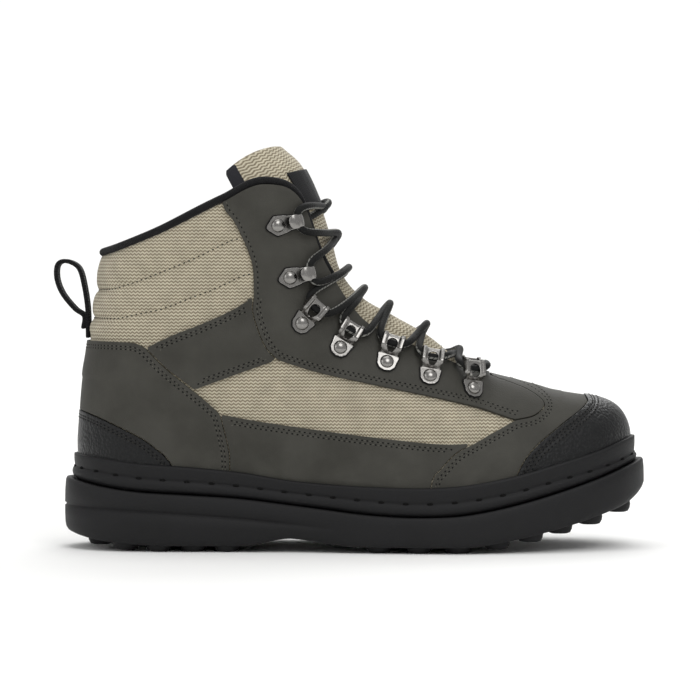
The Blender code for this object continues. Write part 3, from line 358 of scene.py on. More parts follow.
@functools.lru_cache(maxsize=None)
def control(u, side):
    """Foot, flank, shoulder and top of the wall's curve at one place round the boot."""
    edge, out = feather(u, side), outward(u, side)

    def value(name, flat=True):
        return read("wall", name, u, flat)

    floor = sole_height("top", edge[0]) + GAP + WELT_PLATE + GAP
    foot = np.array([edge[0], edge[1], floor])
    push = BALL_WIDTH * value("side_out")
    flank = foot + np.array([out[0] * push, out[1] * push, SHAFT_HEIGHT * value("side_up")])
    half = 0.0 if u > around(THROAT_END) else SHAFT_WIDTH * value("top_half", False)
    top = np.array([
        UPPER_X + UPPER_LENGTH * value("top_x"), axis_y(u) + side * half,
        SHAFT_HEIGHT * value("top_z"),
    ])
    push, drop = BALL_WIDTH * value("shoulder_out"), SHAFT_HEIGHT * value("shoulder_down")
    shoulder = top + np.array([out[0] * push, out[1] * push, -drop])
    return np.array([foot, flank, shoulder, top])


def wall(u, side, t):
    """Points of the upper's outer face at one or more shares of its height."""
    t = np.atleast_1d(t)[:, None]
    c = control(u, side)
    return (
        c[0] * (1 - t) ** 3 + c[1] * 3 * t * (1 - t) ** 2 + c[2] * 3 * t * t * (1 - t)
        + c[3] * t ** 3
    )


def wall_normal(u, side, t):
    """Outward directions of the upper at one or more shares of its height."""
    step, t = 4e-3, np.atleast_1d(t)
    if u in (0.0, 1.0):
        across = np.tile([0.0, side if u == 0.0 else -side, 0.0], (len(t), 1))
    else:
        across = wall(min(u + step, 1.0), side, t) - wall(max(u - step, 0.0), side, t)
    up = wall(u, side, np.minimum(t + step, 1.0)) - wall(u, side, np.maximum(t - step, 0.0))
    n = np.cross(across, up) * -side
    if u in (0.0, 1.0):
        n[:, 1] = 0.0
    if u > around(THROAT_END):
        n[t >= 1.0, 1] = 0.0
    return n / np.linalg.norm(n, axis=1)[:, None]


@functools.lru_cache(maxsize=None)
def rim_share(u, side):
    """Share of the wall's curve at which it passes the top of the rubber rim."""
    height = sole_height("rim", feather(u, side)[0]) - 0.8 * MM
    shares = np.linspace(0.0, 0.6, 121)
    return float(np.interp(height, wall(u, side, shares)[:, 2], shares))


@functools.lru_cache(maxsize=None)
def skin_table(columns, rows, whole):
    """Points, outward directions and distance round the boot of a regular net over the upper."""
    places = []
    for k in range(2 * columns + 1):
        places.append((k / columns, -1) if k <= columns else (2 - k / columns, 1))
    points, normals = [], []
    for u, side in places:
        start = 0.0 if whole else rim_share(u, side)
        t = start + (1 - start) * np.linspace(0.0, 1.0, rows + 1)
        points.append(wall(u, side, t))
        normals.append(wall_normal(u, side, t))
    middle = np.array([wall(u, side, 0.6)[0] for u, side in places])
    steps = np.linalg.norm(np.diff(middle, axis=0), axis=1)
    walked = np.concatenate([[0.0], np.cumsum(steps)])
    walked[columns + 1:] -= walked[-1]
    return np.array(points), np.array(normals), walked


def net(columns, rows, point):
    """Regular sheet of faces, each corner placed by its column and row."""
    bm = bmesh.new()
    bmesh.ops.create_grid(bm, x_segments=columns, y_segments=rows, size=1.0)
    for v in bm.verts:
        i = round((v.co.x + 1) / 2 * columns)
        j = round((v.co.y + 1) / 2 * rows)
        v.co = point(i, j)
    return bm


def skin_net(columns, rows, whole, side=0, lift=0.0):
    """Sheet over the upper with its cloth coordinates, its side-view field and its normals."""
    points, normals, walked = skin_table(columns, rows, whole)
    count = columns if side else 2 * columns
    first = 0 if side <= 0 else columns
    bm = bmesh.new()
    weave = bm.loops.layers.uv.new("weave")
    out = [bm.verts.layers.float.new(f"out_{axis}") for axis in "xyz"]
    bm.verts.layers.float.new("field")
    bmesh.ops.create_grid(bm, x_segments=count, y_segments=rows, size=1.0)
    arc = {}
    for v in bm.verts:
        i = first + round((v.co.x + 1) / 2 * count)
        j = round((v.co.y + 1) / 2 * rows)
        n = normals[i, j]
        v.co = Vector(points[i, j] + n * lift)
        for axis in range(3):
            v[out[axis]] = n[axis]
        arc[v] = (i, walked[i])
    for face in bm.faces:
        for loop in face.loops:
            i, distance = arc[loop.vert]
            if i == columns + 1 or i == columns:
                distance = abs(distance) * (1 if side < 0 or i == columns else -1)
            loop[weave].uv = (distance, loop.vert.co.z)
    if not side:
        bmesh.ops.remove_doubles(bm, verts=bm.verts, dist=1e-6)
    faces_out(bm, out)
    return bm, out


def faces_out(bm, out):
    """Turns a sheet round where its faces look inwards."""
    votes = 0.0
    for face in bm.faces:
        v = face.verts[0]
        votes += face.normal.dot(Vector((v[out[0]], v[out[1]], v[out[2]])))
    if votes < 0:
        bmesh.ops.reverse_faces(bm, faces=bm.faces)
    bm.normal_update()


# ---- outlines, fields and cuts


def smooth_line(points, steps=8):
    """Rounds a short list of points into a curve through them."""
    p = [np.array(q, dtype=float) for q in points]
    if len(p) < 3:
        return p
    p = [2 * p[0] - p[1]] + p + [2 * p[-1] - p[-2]]
    out = []
    for k in range(1, len(p) - 2):
        for t in np.arange(steps) / steps:
            out.append(0.5 * (
                2 * p[k] + (p[k + 1] - p[k - 1]) * t
                + (2 * p[k - 1] - 5 * p[k] + 4 * p[k + 1] - p[k + 2]) * t * t
                + (3 * p[k] - p[k - 1] - 3 * p[k + 1] + p[k + 2]) * t ** 3
            ))
    out.append(p[-2])
    return out


def side_point(share):
    """Side-view shares turned into x and z."""
    return np.array([UPPER_X + UPPER_LENGTH * share[0], SHAFT_HEIGHT * share[1]])


def outline(parts):
    """Closed side-view outline, and the seam that each of its stretches belongs to."""
    points, tags = [], []
    for part in parts:
        if isinstance(part, str):
            name = part.lstrip("-")
            line = smooth_line(SEAMS[name])
            line = line[::-1] if part.startswith("-") else line
        else:
            name, line = "", [np.array(part)]
        for p in line:
            points.append(side_point(p))
            tags.append(name)
    return np.array(points), tags


def closed_field(places, points):
    """Signed distance of places to a closed outline, positive inside, and nearest stretch."""
    a, b = points, np.roll(points, -1, axis=0)
    run = b - a
    length = np.maximum((run ** 2).sum(axis=1), 1e-14)
    offset = places[:, None, :] - a[None, :, :]
    share = np.clip((offset * run[None]).sum(axis=2) / length, 0.0, 1.0)
    gap = np.linalg.norm(offset - share[..., None] * run[None], axis=2)
    over = (a[None, :, 1] > places[:, None, 1]) != (b[None, :, 1] > places[:, None, 1])
    rise = np.where(np.abs(run[:, 1]) < 1e-12, 1e-12, run[:, 1])
    cross = a[None, :, 0] + (places[:, None, 1] - a[None, :, 1]) / rise * run[None, :, 0]
    inside = (over & (places[:, None, 0] < cross)).sum(axis=1) % 2 == 1
    nearest = gap.argmin(axis=1)
    distance = gap.min(axis=1)
    return np.where(inside, distance, -distance), nearest


def line_field(places, points):
    """Height of places above a line that runs from heel to toe."""
    line = np.array([side_point(p) for p in smooth_line(points)])
    return places[:, 1] - np.interp(places[:, 0], line[:, 0], line[:, 1])


def seen_from_side(bm):
    return np.array([(v.co.x, v.co.z) for v in bm.verts])


def set_field(bm, values):
    layer = bm.verts.layers.float["field"]
    for v, value in zip(bm.verts, values):
        v[layer] = float(value)
    return layer


def cut_at(bm, layer, level):
    """Cuts a sheet along one level of its field and keeps the higher part."""
    snap = 0.18
    level = float(np.float32(level))  # the field is kept in single precision
    for edge in bm.edges:
        a, b = edge.verts
        if (a[layer] < level) == (b[layer] < level):
            continue
        share = (level - a[layer]) / (b[layer] - a[layer])
        near = a if share < snap else b if share > 1 - snap else None
        if near is not None:
            near.co = a.co.lerp(b.co, share)
            near[layer] = level
    crossing = [
        e for e in bm.edges if (e.verts[0][layer] - level) * (e.verts[1][layer] - level) < 0
    ]
    for edge in crossing:
        a, b = edge.verts
        share = (level - a[layer]) / (b[layer] - a[layer])
        made = bmesh.utils.edge_split(edge, a, share)[1]
        made[layer] = level
    for face in list(bm.faces):
        if any(v[layer] < level for v in face.verts) and any(v[layer] > level for v in face.verts):
            on = [v for v in face.verts if v[layer] == level]
            if len(on) == 2 and bm.edges.get(on) is None:
                bmesh.utils.face_split(face, on[0], on[1])
    gone = [f for f in bm.faces if sum(v[layer] - level for v in f.verts) < 0]
    bmesh.ops.delete(bm, geom=gone, context="FACES")


def level_lines(bm, layer, level, lift):
    """Rows of places and outward directions along one level of a sheet's field."""
    bm.normal_update()
    bm.edges.index_update()
    crossing = {}
    for edge in bm.edges:
        a, b = edge.verts
        low, high = a[layer] - level, b[layer] - level
        if (low < 0) != (high < 0):
            share = low / (low - high)
            n = a.normal.lerp(b.normal, share).normalized()
            crossing[edge] = (a.co.lerp(b.co, share) + n * lift, n)
    links = {edge: [] for edge in crossing}
    for face in bm.faces:
        hit = [e for e in face.edges if e in crossing]
        if len(hit) == 2:
            links[hit[0]].append(hit[1])
            links[hit[1]].append(hit[0])
    order = sorted(crossing, key=lambda e: (len(links[e]) > 1, e.index))
    seen, lines = set(), []
    for start in order:
        if start in seen:
            continue
        row, edge = [], start
        while edge is not None:
            seen.add(edge)
            row.append(crossing[edge])
            edge = next((e for e in links[edge] if e not in seen), None)
        if len(row) > 2:
            lines.append(row)
    return lines


def resample(row, pitch):
    """Places, outward directions and directions of run at an even pitch along a row."""
    points = np.array([p for p, _ in row])
    normals = np.array([n for _, n in row])
    walked = np.concatenate([[0.0], np.cumsum(np.linalg.norm(np.diff(points, axis=0), axis=1))])
    count = int(walked[-1] / pitch)
    places = []
    for k in range(count):
        at = (k + 0.5) * pitch
        p, n, run = [
            np.array([np.interp(w, walked, values[:, axis]) for axis in range(3)])
            for w, values in ((at, points), (at, normals), (at, points))
        ]
        ahead = np.array([np.interp(at + pitch / 3, walked, points[:, a]) for a in range(3)])
        run = Vector(ahead - run)
        if run.length > 1e-7:
            places.append((Vector(p), Vector(n).normalized(), run.normalized()))
    return places


# ---- making pieces


def piece(bm, name, materials, nodes):
    """Turns a bmesh into a piece of the boot that stands for some of the frame's nodes."""
    mesh = bpy.data.meshes.new(name)
    bm.to_mesh(mesh)
    bm.free()
    for made in materials:
        mesh.materials.append(made)
    mesh.shade_smooth()
    obj = bpy.data.objects.new(name, mesh)
    bpy.context.scene.collection.objects.link(obj)
    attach(obj, "root")
    if nodes:
        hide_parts(*nodes)
    return obj


def thicken(obj, thickness, offset, inner=0):
    """Gives a sheet its thickness, with one of the piece's materials on its inner face."""
    made = obj.modifiers.new("thickness", "SOLIDIFY")
    made.thickness = thickness
    made.offset = offset
    made.use_quality_normals = True
    made.material_offset = inner
    made.material_offset_rim = inner


def round_edges(obj, width, angle=50):
    made = obj.modifiers.new("edges", "BEVEL")
    made.width = width
    made.segments = 2
    made.limit_method = "ANGLE"
    made.angle_limit = math.radians(angle)


def surface_of(*names):
    """Search trees over finished pieces."""
    graph = bpy.context.evaluated_depsgraph_get()
    return [BVHTree.FromObject(bpy.data.objects[name], graph) for name in names]


def sweep(bm, points, radius, sides):
    """Adds a round cord along a row of points, with its length and turn as coordinates."""
    points = [Vector(p) for p in points]
    count = len(points)
    weave = bm.loops.layers.uv.get("weave") or bm.loops.layers.uv.new("weave")
    walked, frames = [0.0], []
    side = None
    for k, p in enumerate(points):
        run = points[min(k + 1, count - 1)] - points[max(k - 1, 0)]
        run.normalize()
        if side is None:
            side = run.orthogonal().normalized()
        side = (side - run * side.dot(run)).normalized()
        frames.append((p, side.copy(), run.cross(side)))
        if k:
            walked.append(walked[-1] + (p - points[k - 1]).length)
    made = bmesh.ops.create_grid(bm, x_segments=count - 1, y_segments=sides, size=1.0)["verts"]
    spot = {}
    for v in made:
        i = round((v.co.x + 1) / 2 * (count - 1))
        j = round((v.co.y + 1) / 2 * sides)
        spot[v] = (i, j)
    for v, (i, j) in spot.items():
        p, a, b = frames[i]
        turn = 2 * math.pi * j / sides
        v.co = p + (a * math.cos(turn) + b * math.sin(turn)) * radius
    faces = {f for v in made for f in v.link_faces}
    for face in faces:
        for loop in face.loops:
            i, j = spot[loop.vert]
            loop[weave].uv = (walked[i], j / sides)
    bmesh.ops.remove_doubles(bm, verts=made, dist=radius * 1e-3)
    rims = [e for e in bm.edges if e.is_boundary]
    bmesh.ops.holes_fill(bm, edges=rims, sides=sides + 1)
    bmesh.ops.recalc_face_normals(bm, faces=bm.faces)


def node(tree, kind, settings=None, inputs=None):
    """Adds a node with its settings; an input is given a value or another node's socket."""
    made = tree.nodes.new(kind)
    for key, value in (settings or {}).items():
        setattr(made, key, value)
    for key, value in (inputs or {}).items():
        if isinstance(value, bpy.types.NodeSocket):
            tree.links.new(value, made.inputs[key])
        else:
            made.inputs[key].default_value = value
    return made


def blank_material(name, colour, roughness, metallic=0.0, specular=0.22):
    """New material, its node tree and its shader, with the finish's even values set."""
    made = bpy.data.materials.new(name)
    made.use_nodes = True
    tree = made.node_tree
    shader = tree.nodes["Principled BSDF"]
    shader.inputs["Base Color"].default_value = (*colour, 1.0)
    shader.inputs["Roughness"].default_value = roughness
    shader.inputs["Metallic"].default_value = metallic
    shader.inputs["Specular IOR Level"].default_value = specular
    made.diffuse_color = (*colour, 1.0)
    return made, tree, shader


def mesh_cloth(name, light=1.0):
    """Warp-knitted polyester mesh: zig-zag ridges of pale yarn over dark gaps, quite matt."""
    colours = bpy.context.scene.boot_colours
    made, tree, shader = blank_material(name, colours.mesh_mid, 0.85)
    shader.inputs["Sheen Weight"].default_value = 0.15
    place = node(tree, "ShaderNodeUVMap", {"uv_map": "weave"})
    split = node(tree, "ShaderNodeSeparateXYZ", None, {0: place.outputs[0]})
    # Zig-zag of 2.4 mm along the boot, in rows 1.8 mm apart
    zigzag = node(tree, "ShaderNodeMath", {"operation": "PINGPONG"}, {
        0: split.outputs[0], 1: 1.2 * MM,
    })
    row = node(tree, "ShaderNodeMath", {"operation": "MULTIPLY_ADD"}, {
        0: zigzag.outputs[0], 1: 0.75, 2: split.outputs[1],
    })
    turn = node(tree, "ShaderNodeMath", {"operation": "MULTIPLY"}, {
        0: row.outputs[0], 1: 2 * math.pi / (1.8 * MM),
    })
    wave = node(tree, "ShaderNodeMath", {"operation": "SINE"}, {0: turn.outputs[0]})
    # Loops of yarn along each ridge, 0.8 mm apart
    yarn = node(tree, "ShaderNodeMath", {"operation": "MULTIPLY"}, {
        0: split.outputs[0], 1: 2 * math.pi / (0.8 * MM),
    })
    loops = node(tree, "ShaderNodeMath", {"operation": "SINE"}, {0: yarn.outputs[0]})
    height = node(tree, "ShaderNodeMath", {"operation": "MULTIPLY_ADD"}, {
        0: loops.outputs[0], 1: 0.16, 2: wave.outputs[0],
    })
    share = node(tree, "ShaderNodeMapRange", None, {
        0: height.outputs[0], 1: -1.1, 2: 1.1, 3: 0.0, 4: 1.0,
    })
    spots = node(tree, "ShaderNodeTexCoord")
    blotch = node(tree, "ShaderNodeTexNoise", None, {
        "Vector": spots.outputs["Object"], "Scale": 140.0, "Detail": 3.0,
    })
    ramp = node(tree, "ShaderNodeValToRGB", None, {0: share.outputs[0]})
    ramp.color_ramp.elements[0].position = 0.12
    ramp.color_ramp.elements[0].color = (*colours.mesh_dark, 1.0)
    ramp.color_ramp.elements[1].position = 0.9
    ramp.color_ramp.elements[1].color = (*colours.mesh_light, 1.0)
    middle = ramp.color_ramp.elements.new(0.45)
    middle.color = (*colours.mesh_mid, 1.0)
    shade = node(tree, "ShaderNodeMapRange", None, {
        0: blotch.outputs[0], 1: 0.3, 2: 0.7, 3: 0.9 * light, 4: 1.08 * light,
    })
    tint = node(tree, "ShaderNodeVectorMath", {"operation": "SCALE"}, {
        0: ramp.outputs[0], "Scale": shade.outputs[0],
    })
    tree.links.new(tint.outputs[0], shader.inputs["Base Color"])
    bump = node(tree, "ShaderNodeBump", None, {
        "Strength": 0.8, "Distance": 0.45 * MM, "Height": share.outputs[0],
    })
    tree.links.new(bump.outputs[0], shader.inputs["Normal"])
    return made


def grained(name, colour, pale, grain, depth, rough, tone=45.0, coat=0.0):
    """Material whose grain is a fine cellular pattern in the piece's own space."""
    made, tree, shader = blank_material(name, colour, rough[0])
    shader.inputs["Coat Weight"].default_value = coat
    shader.inputs["Coat Roughness"].default_value = 0.35
    spots = node(tree, "ShaderNodeTexCoord").outputs["Object"]
    cells = node(tree, "ShaderNodeTexVoronoi", {"feature": "SMOOTH_F1"}, {
        "Vector": spots, "Scale": 1 / grain, "Smoothness": 0.35,
    })
    dust = node(tree, "ShaderNodeTexNoise", None, {
        "Vector": spots, "Scale": 2.2 / grain, "Detail": 4.0, "Roughness": 0.6,
    })
    height = node(tree, "ShaderNodeMath", {"operation": "MULTIPLY_ADD"}, {
        0: dust.outputs[0], 1: -0.5, 2: cells.outputs["Distance"],
    })
    wide = node(tree, "ShaderNodeTexNoise", None, {
        "Vector": spots, "Scale": tone, "Detail": 3.0, "Roughness": 0.55,
    })
    share = node(tree, "ShaderNodeMapRange", None, {
        0: wide.outputs[0], 1: 0.35, 2: 0.68, 3: 0.0, 4: 1.0,
    })
    mix = node(tree, "ShaderNodeMix", {"data_type": "RGBA"}, {
        0: share.outputs[0], 6: (*colour, 1.0), 7: (*pale, 1.0),
    })
    tree.links.new(mix.outputs[2], shader.inputs["Base Color"])
    gloss = node(tree, "ShaderNodeMapRange", None, {
        0: wide.outputs[0], 1: 0.3, 2: 0.7, 3: rough[0], 4: rough[1],
    })
    tree.links.new(gloss.outputs[0], shader.inputs["Roughness"])
    bump = node(tree, "ShaderNodeBump", {"invert": True}, {
        "Strength": 0.7, "Distance": depth, "Height": height.outputs[0],
    })
    tree.links.new(bump.outputs[0], shader.inputs["Normal"])
    return made


def ribbed(name, colour, rib, depth, rough=0.85):
    """Woven tape or knit: ribs along the piece's own coordinates, crossed by finer yarns."""
    made, tree, shader = blank_material(name, colour, rough)
    shader.inputs["Sheen Weight"].default_value = 0.06
    place = node(tree, "ShaderNodeUVMap", {"uv_map": "weave"})
    split = node(tree, "ShaderNodeSeparateXYZ", None, {0: place.outputs[0]})
    waves = []
    for axis, pitch in ((0, rib), (1, rib * 0.55)):
        turn = node(tree, "ShaderNodeMath", {"operation": "MULTIPLY"}, {
            0: split.outputs[axis], 1: 2 * math.pi / pitch,
        })
        waves.append(node(tree, "ShaderNodeMath", {"operation": "SINE"}, {0: turn.outputs[0]}))
    both = node(tree, "ShaderNodeMath", {"operation": "MULTIPLY_ADD"}, {
        0: waves[1].outputs[0], 1: 0.5, 2: waves[0].outputs[0],
    })
    bump = node(tree, "ShaderNodeBump", None, {
        "Strength": 0.8, "Distance": depth, "Height": both.outputs[0],
    })
    tree.links.new(bump.outputs[0], shader.inputs["Normal"])
    shade = node(tree, "ShaderNodeMapRange", None, {
        0: both.outputs[0], 1: -1.5, 2: 1.5, 3: 0.7, 4: 1.5,
    })
    tint = node(tree, "ShaderNodeVectorMath", {"operation": "SCALE"}, {
        0: (*colour,), "Scale": shade.outputs[0],
    })
    tree.links.new(tint.outputs[0], shader.inputs["Base Color"])
    return made


def lace_braid(name):
    """Round polyester braid: black strands in two slants, with flecks of a grey tracer yarn."""
    colours = bpy.context.scene.boot_colours
    made, tree, shader = blank_material(name, colours.lace, 0.7)
    shader.inputs["Sheen Weight"].default_value = 0.03
    place = node(tree, "ShaderNodeUVMap", {"uv_map": "weave"})
    split = node(tree, "ShaderNodeSeparateXYZ", None, {0: place.outputs[0]})
    slants = []
    # Strands slant both ways: 4 strands round the lace, each turning once in 9 mm
    for hand in (4.0, -4.0):
        run = node(tree, "ShaderNodeMath", {"operation": "MULTIPLY"}, {
            0: split.outputs[0], 1: 1 / (2.2 * MM),
        })
        turn = node(tree, "ShaderNodeMath", {"operation": "MULTIPLY_ADD"}, {
            0: split.outputs[1], 1: hand, 2: run.outputs[0],
        })
        slants.append(node(tree, "ShaderNodeMath", {"operation": "PINGPONG"}, {
            0: turn.outputs[0], 1: 0.5,
        }))
    height = node(tree, "ShaderNodeMath", {"operation": "MAXIMUM"}, {
        0: slants[0].outputs[0], 1: slants[1].outputs[0],
    })
    # Tracer: two pale lines along the lace, broken by the braid
    line = node(tree, "ShaderNodeMath", {"operation": "PINGPONG"}, {
        0: split.outputs[1], 1: 0.25,
    })
    near = node(tree, "ShaderNodeMath", {"operation": "GREATER_THAN"}, {
        0: line.outputs[0], 1: 0.2,
    })
    broken = node(tree, "ShaderNodeMath", {"operation": "GREATER_THAN"}, {
        0: slants[0].outputs[0], 1: 0.12,
    })
    fleck = node(tree, "ShaderNodeMath", {"operation": "MULTIPLY"}, {
        0: near.outputs[0], 1: broken.outputs[0],
    })
    mix = node(tree, "ShaderNodeMix", {"data_type": "RGBA"}, {
        0: fleck.outputs[0], 6: (*colours.lace, 1.0), 7: (*colours.tracer, 1.0),
    })
    tree.links.new(mix.outputs[2], shader.inputs["Base Color"])
    bump = node(tree, "ShaderNodeBump", None, {
        "Strength": 0.7, "Distance": 0.35 * MM, "Height": height.outputs[0],
    })
    tree.links.new(bump.outputs[0], shader.inputs["Normal"])
    return made


def nickel(name):
    """Dark nickel plate on pressed steel: clear highlights, faintly brushed and scuffed."""
    colours = bpy.context.scene.boot_colours
    made, tree, shader = blank_material(name, colours.metal, 0.28, 1.0, 0.5)
    spots = node(tree, "ShaderNodeTexCoord").outputs["Object"]
    scuff = node(tree, "ShaderNodeTexNoise", None, {
        "Vector": spots, "Scale": 420.0, "Detail": 5.0, "Roughness": 0.65,
    })
    gloss = node(tree, "ShaderNodeMapRange", None, {
        0: scuff.outputs[0], 1: 0.3, 2: 0.75, 3: 0.16, 4: 0.32,
    })
    tree.links.new(gloss.outputs[0], shader.inputs["Roughness"])
    bump = node(tree, "ShaderNodeBump", None, {
        "Strength": 0.15, "Distance": 0.04 * MM, "Height": scuff.outputs[0],
    })
    tree.links.new(bump.outputs[0], shader.inputs["Normal"])
    return made


def lighter(colour, factor):
    return tuple(v * factor for v in colour)


def material(kind):
    """Finish of one kind, made once."""
    if kind in bpy.data.materials:
        return bpy.data.materials[kind]
    c = bpy.context.scene.boot_colours
    finishes = {
        # Knitted polyester: pale and matt, and a little lighter where foam stretches it
        "polyester mesh": (mesh_cloth,),
        "polyester mesh padded": (mesh_cloth, 1.14),
        # Coated split leather, embossed with a very fine grain; drawn at 0.9 mm so that it shows
        "coated leather": (
            grained, c.leather, c.leather_light, 0.9 * MM, 0.1 * MM, (0.55, 0.68),
        ),
        # Moulded rubberised leather with pebbles of about 1.6 mm, a little glossy
        "pebbled rubber": (
            grained, c.pebble, lighter(c.pebble, 1.35), 1.6 * MM, 0.7 * MM, (0.3, 0.44), 30.0, 0.12,
        ),
        # Vulcanised rubber from a spark-eroded mould: dull, with a grain of 0.8 mm
        "moulded rubber": (
            grained, c.rubber, lighter(c.rubber, 1.4), 0.8 * MM, 0.12 * MM, (0.5, 0.66), 25.0,
        ),
        # Knitted polyester tape: black and matt, with soft fine ribs
        "knitted binding": (ribbed, c.binding, 0.9 * MM, 0.12 * MM),
        # Nylon tape: the same black, with coarser and deeper ribs
        "nylon webbing": (ribbed, c.binding, 1.4 * MM, 0.3 * MM),
        # Damask label: black satin with a very fine weave, drawn at 0.7 mm so that it shows
        "woven label": (ribbed, linear("#131315"), 0.7 * MM, 0.05 * MM, 0.6),
        # Brushed polyester lining: soft and dark
        "lining knit": (
            grained, linear("#26262a"), linear("#323236"), 0.7 * MM, 0.15 * MM, (0.85, 0.95),
        ),
        # Pressed foam under a thin cloth: dark grey, with no gloss
        "foam footbed": (
            grained, linear("#2a2a2c"), linear("#36363a"), 1.0 * MM, 0.12 * MM, (0.8, 0.9),
        ),
        # Bonded polyester thread, a little waxy, in a pale and a dark shade
        "spun thread": (
            grained, c.thread, lighter(c.thread, 1.5), 0.4 * MM, 0.05 * MM, (0.5, 0.65), 500.0,
        ),
        "dark thread": (
            grained, linear("#23221f"), linear("#2f2d29"), 0.4 * MM, 0.05 * MM, (0.55, 0.7), 500.0,
        ),
        # Painted shadow: black, dull rim under each fitting that stands in for its contact shadow
        "fibre backing": (
            grained, linear("#0b0b0b"), linear("#121212"), 0.5 * MM, 0.03 * MM, (0.7, 0.8),
        ),
        # Needle hole in the leather: no light comes back from it, so its shade is painted as a
        # near-black spot
        "needle hole": (
            grained, linear("#050505"), linear("#080807"), 0.4 * MM, 0.05 * MM, (0.9, 0.95), 500.0,
        ),
        "braided lace": (lace_braid,),
        "dark nickel": (nickel,),
    }
    make, *settings = finishes[kind]
    return make(kind, *settings)


# ---- the upper and its overlays


def boundary_fields(places):
    """Distance of places outside the nearest overlay, seen from the side."""
    gap = np.full(len(places), 1.0)
    for parts, _, _ in PANELS.values():
        field = closed_field(places, outline(parts)[0])[0]
        gap = np.minimum(gap, -field)
    return gap


def soft_step(value, low, high):
    t = np.clip((value - low) / (high - low), 0.0, 1.0)
    return t * t * (3 - 2 * t)


class BOOT_OT_upper(bpy.types.Operator):
    """Hollow cloth upper with its quilted, padded collar and dark lining"""

    bl_idname = "boot.upper"
    bl_label = "Cloth upper"

    def execute(self, context):
        sizes = context.scene.boot_sizes
        bm, out = skin_net(150, 64, True)
        places = seen_from_side(bm)
        open_cloth = soft_step(boundary_fields(places), 0.0, 7 * MM)
        first, second = (line_field(places, line) for line in QUILTS)
        edge = line_field(places, [(-0.08, 0.80), (0.034, 0.80), (0.102, 0.838), (0.195, 0.897),
                                   (0.256, 0.943)])
        foot = line_field(places, [(-0.08, 0.569), (0.078, 0.568), (0.123, 0.556), (0.223, 0.617),
                                   (0.317, 0.690)])
        collar = soft_step(foot, -4 * MM, 2 * MM)
        bulge = np.zeros(len(places))
        for low, high in ((foot, second), (second, first), (first, edge)):
            span = np.maximum(low - high, 1 * MM)
            share = np.clip(low / span, 0.0, 1.0)
            bulge = np.maximum(bulge, 4 * share * (1 - share))
        trough = sum(np.exp(-(f / (1.5 * MM)) ** 2) for f in (first, second))
        push = open_cloth * collar * (sizes.collar_puff * bulge - sizes.quilt_depth * trough)
        push += open_cloth * (1 - collar) * 0.6 * MM
        for v, amount in zip(bm.verts, push):
            v.co += Vector((v[out[0]], v[out[1]], v[out[2]])) * float(amount)
        obj = piece(
            bm, "cloth_upper", [material("polyester mesh"), material("lining knit")],
            ["upper"],
        )
        thicken(obj, WALL, -1.0, 1)
        return {"FINISHED"}


def add_sheet(bm, part):
    """Joins a finished bmesh into another one."""
    mesh = bpy.data.meshes.new("part")
    part.to_mesh(mesh)
    part.free()
    bm.from_mesh(mesh)
    bpy.data.meshes.remove(mesh)


def stitch_mesh(bm, spots, length, width, sunk):
    """Adds small rounded stitches along a row of spots."""
    row = bmesh.new()
    for p, n, run in spots:
        across = n.cross(run)
        place = Matrix((
            (run.x * length / 2, across.x * width / 2, n.x * width / 2, p.x - n.x * sunk),
            (run.y * length / 2, across.y * width / 2, n.y * width / 2, p.y - n.y * sunk),
            (run.z * length / 2, across.z * width / 2, n.z * width / 2, p.z - n.z * sunk),
            (0, 0, 0, 1),
        ))
        bmesh.ops.create_icosphere(row, subdivisions=1, radius=1.0, matrix=place)
    add_sheet(bm, row)


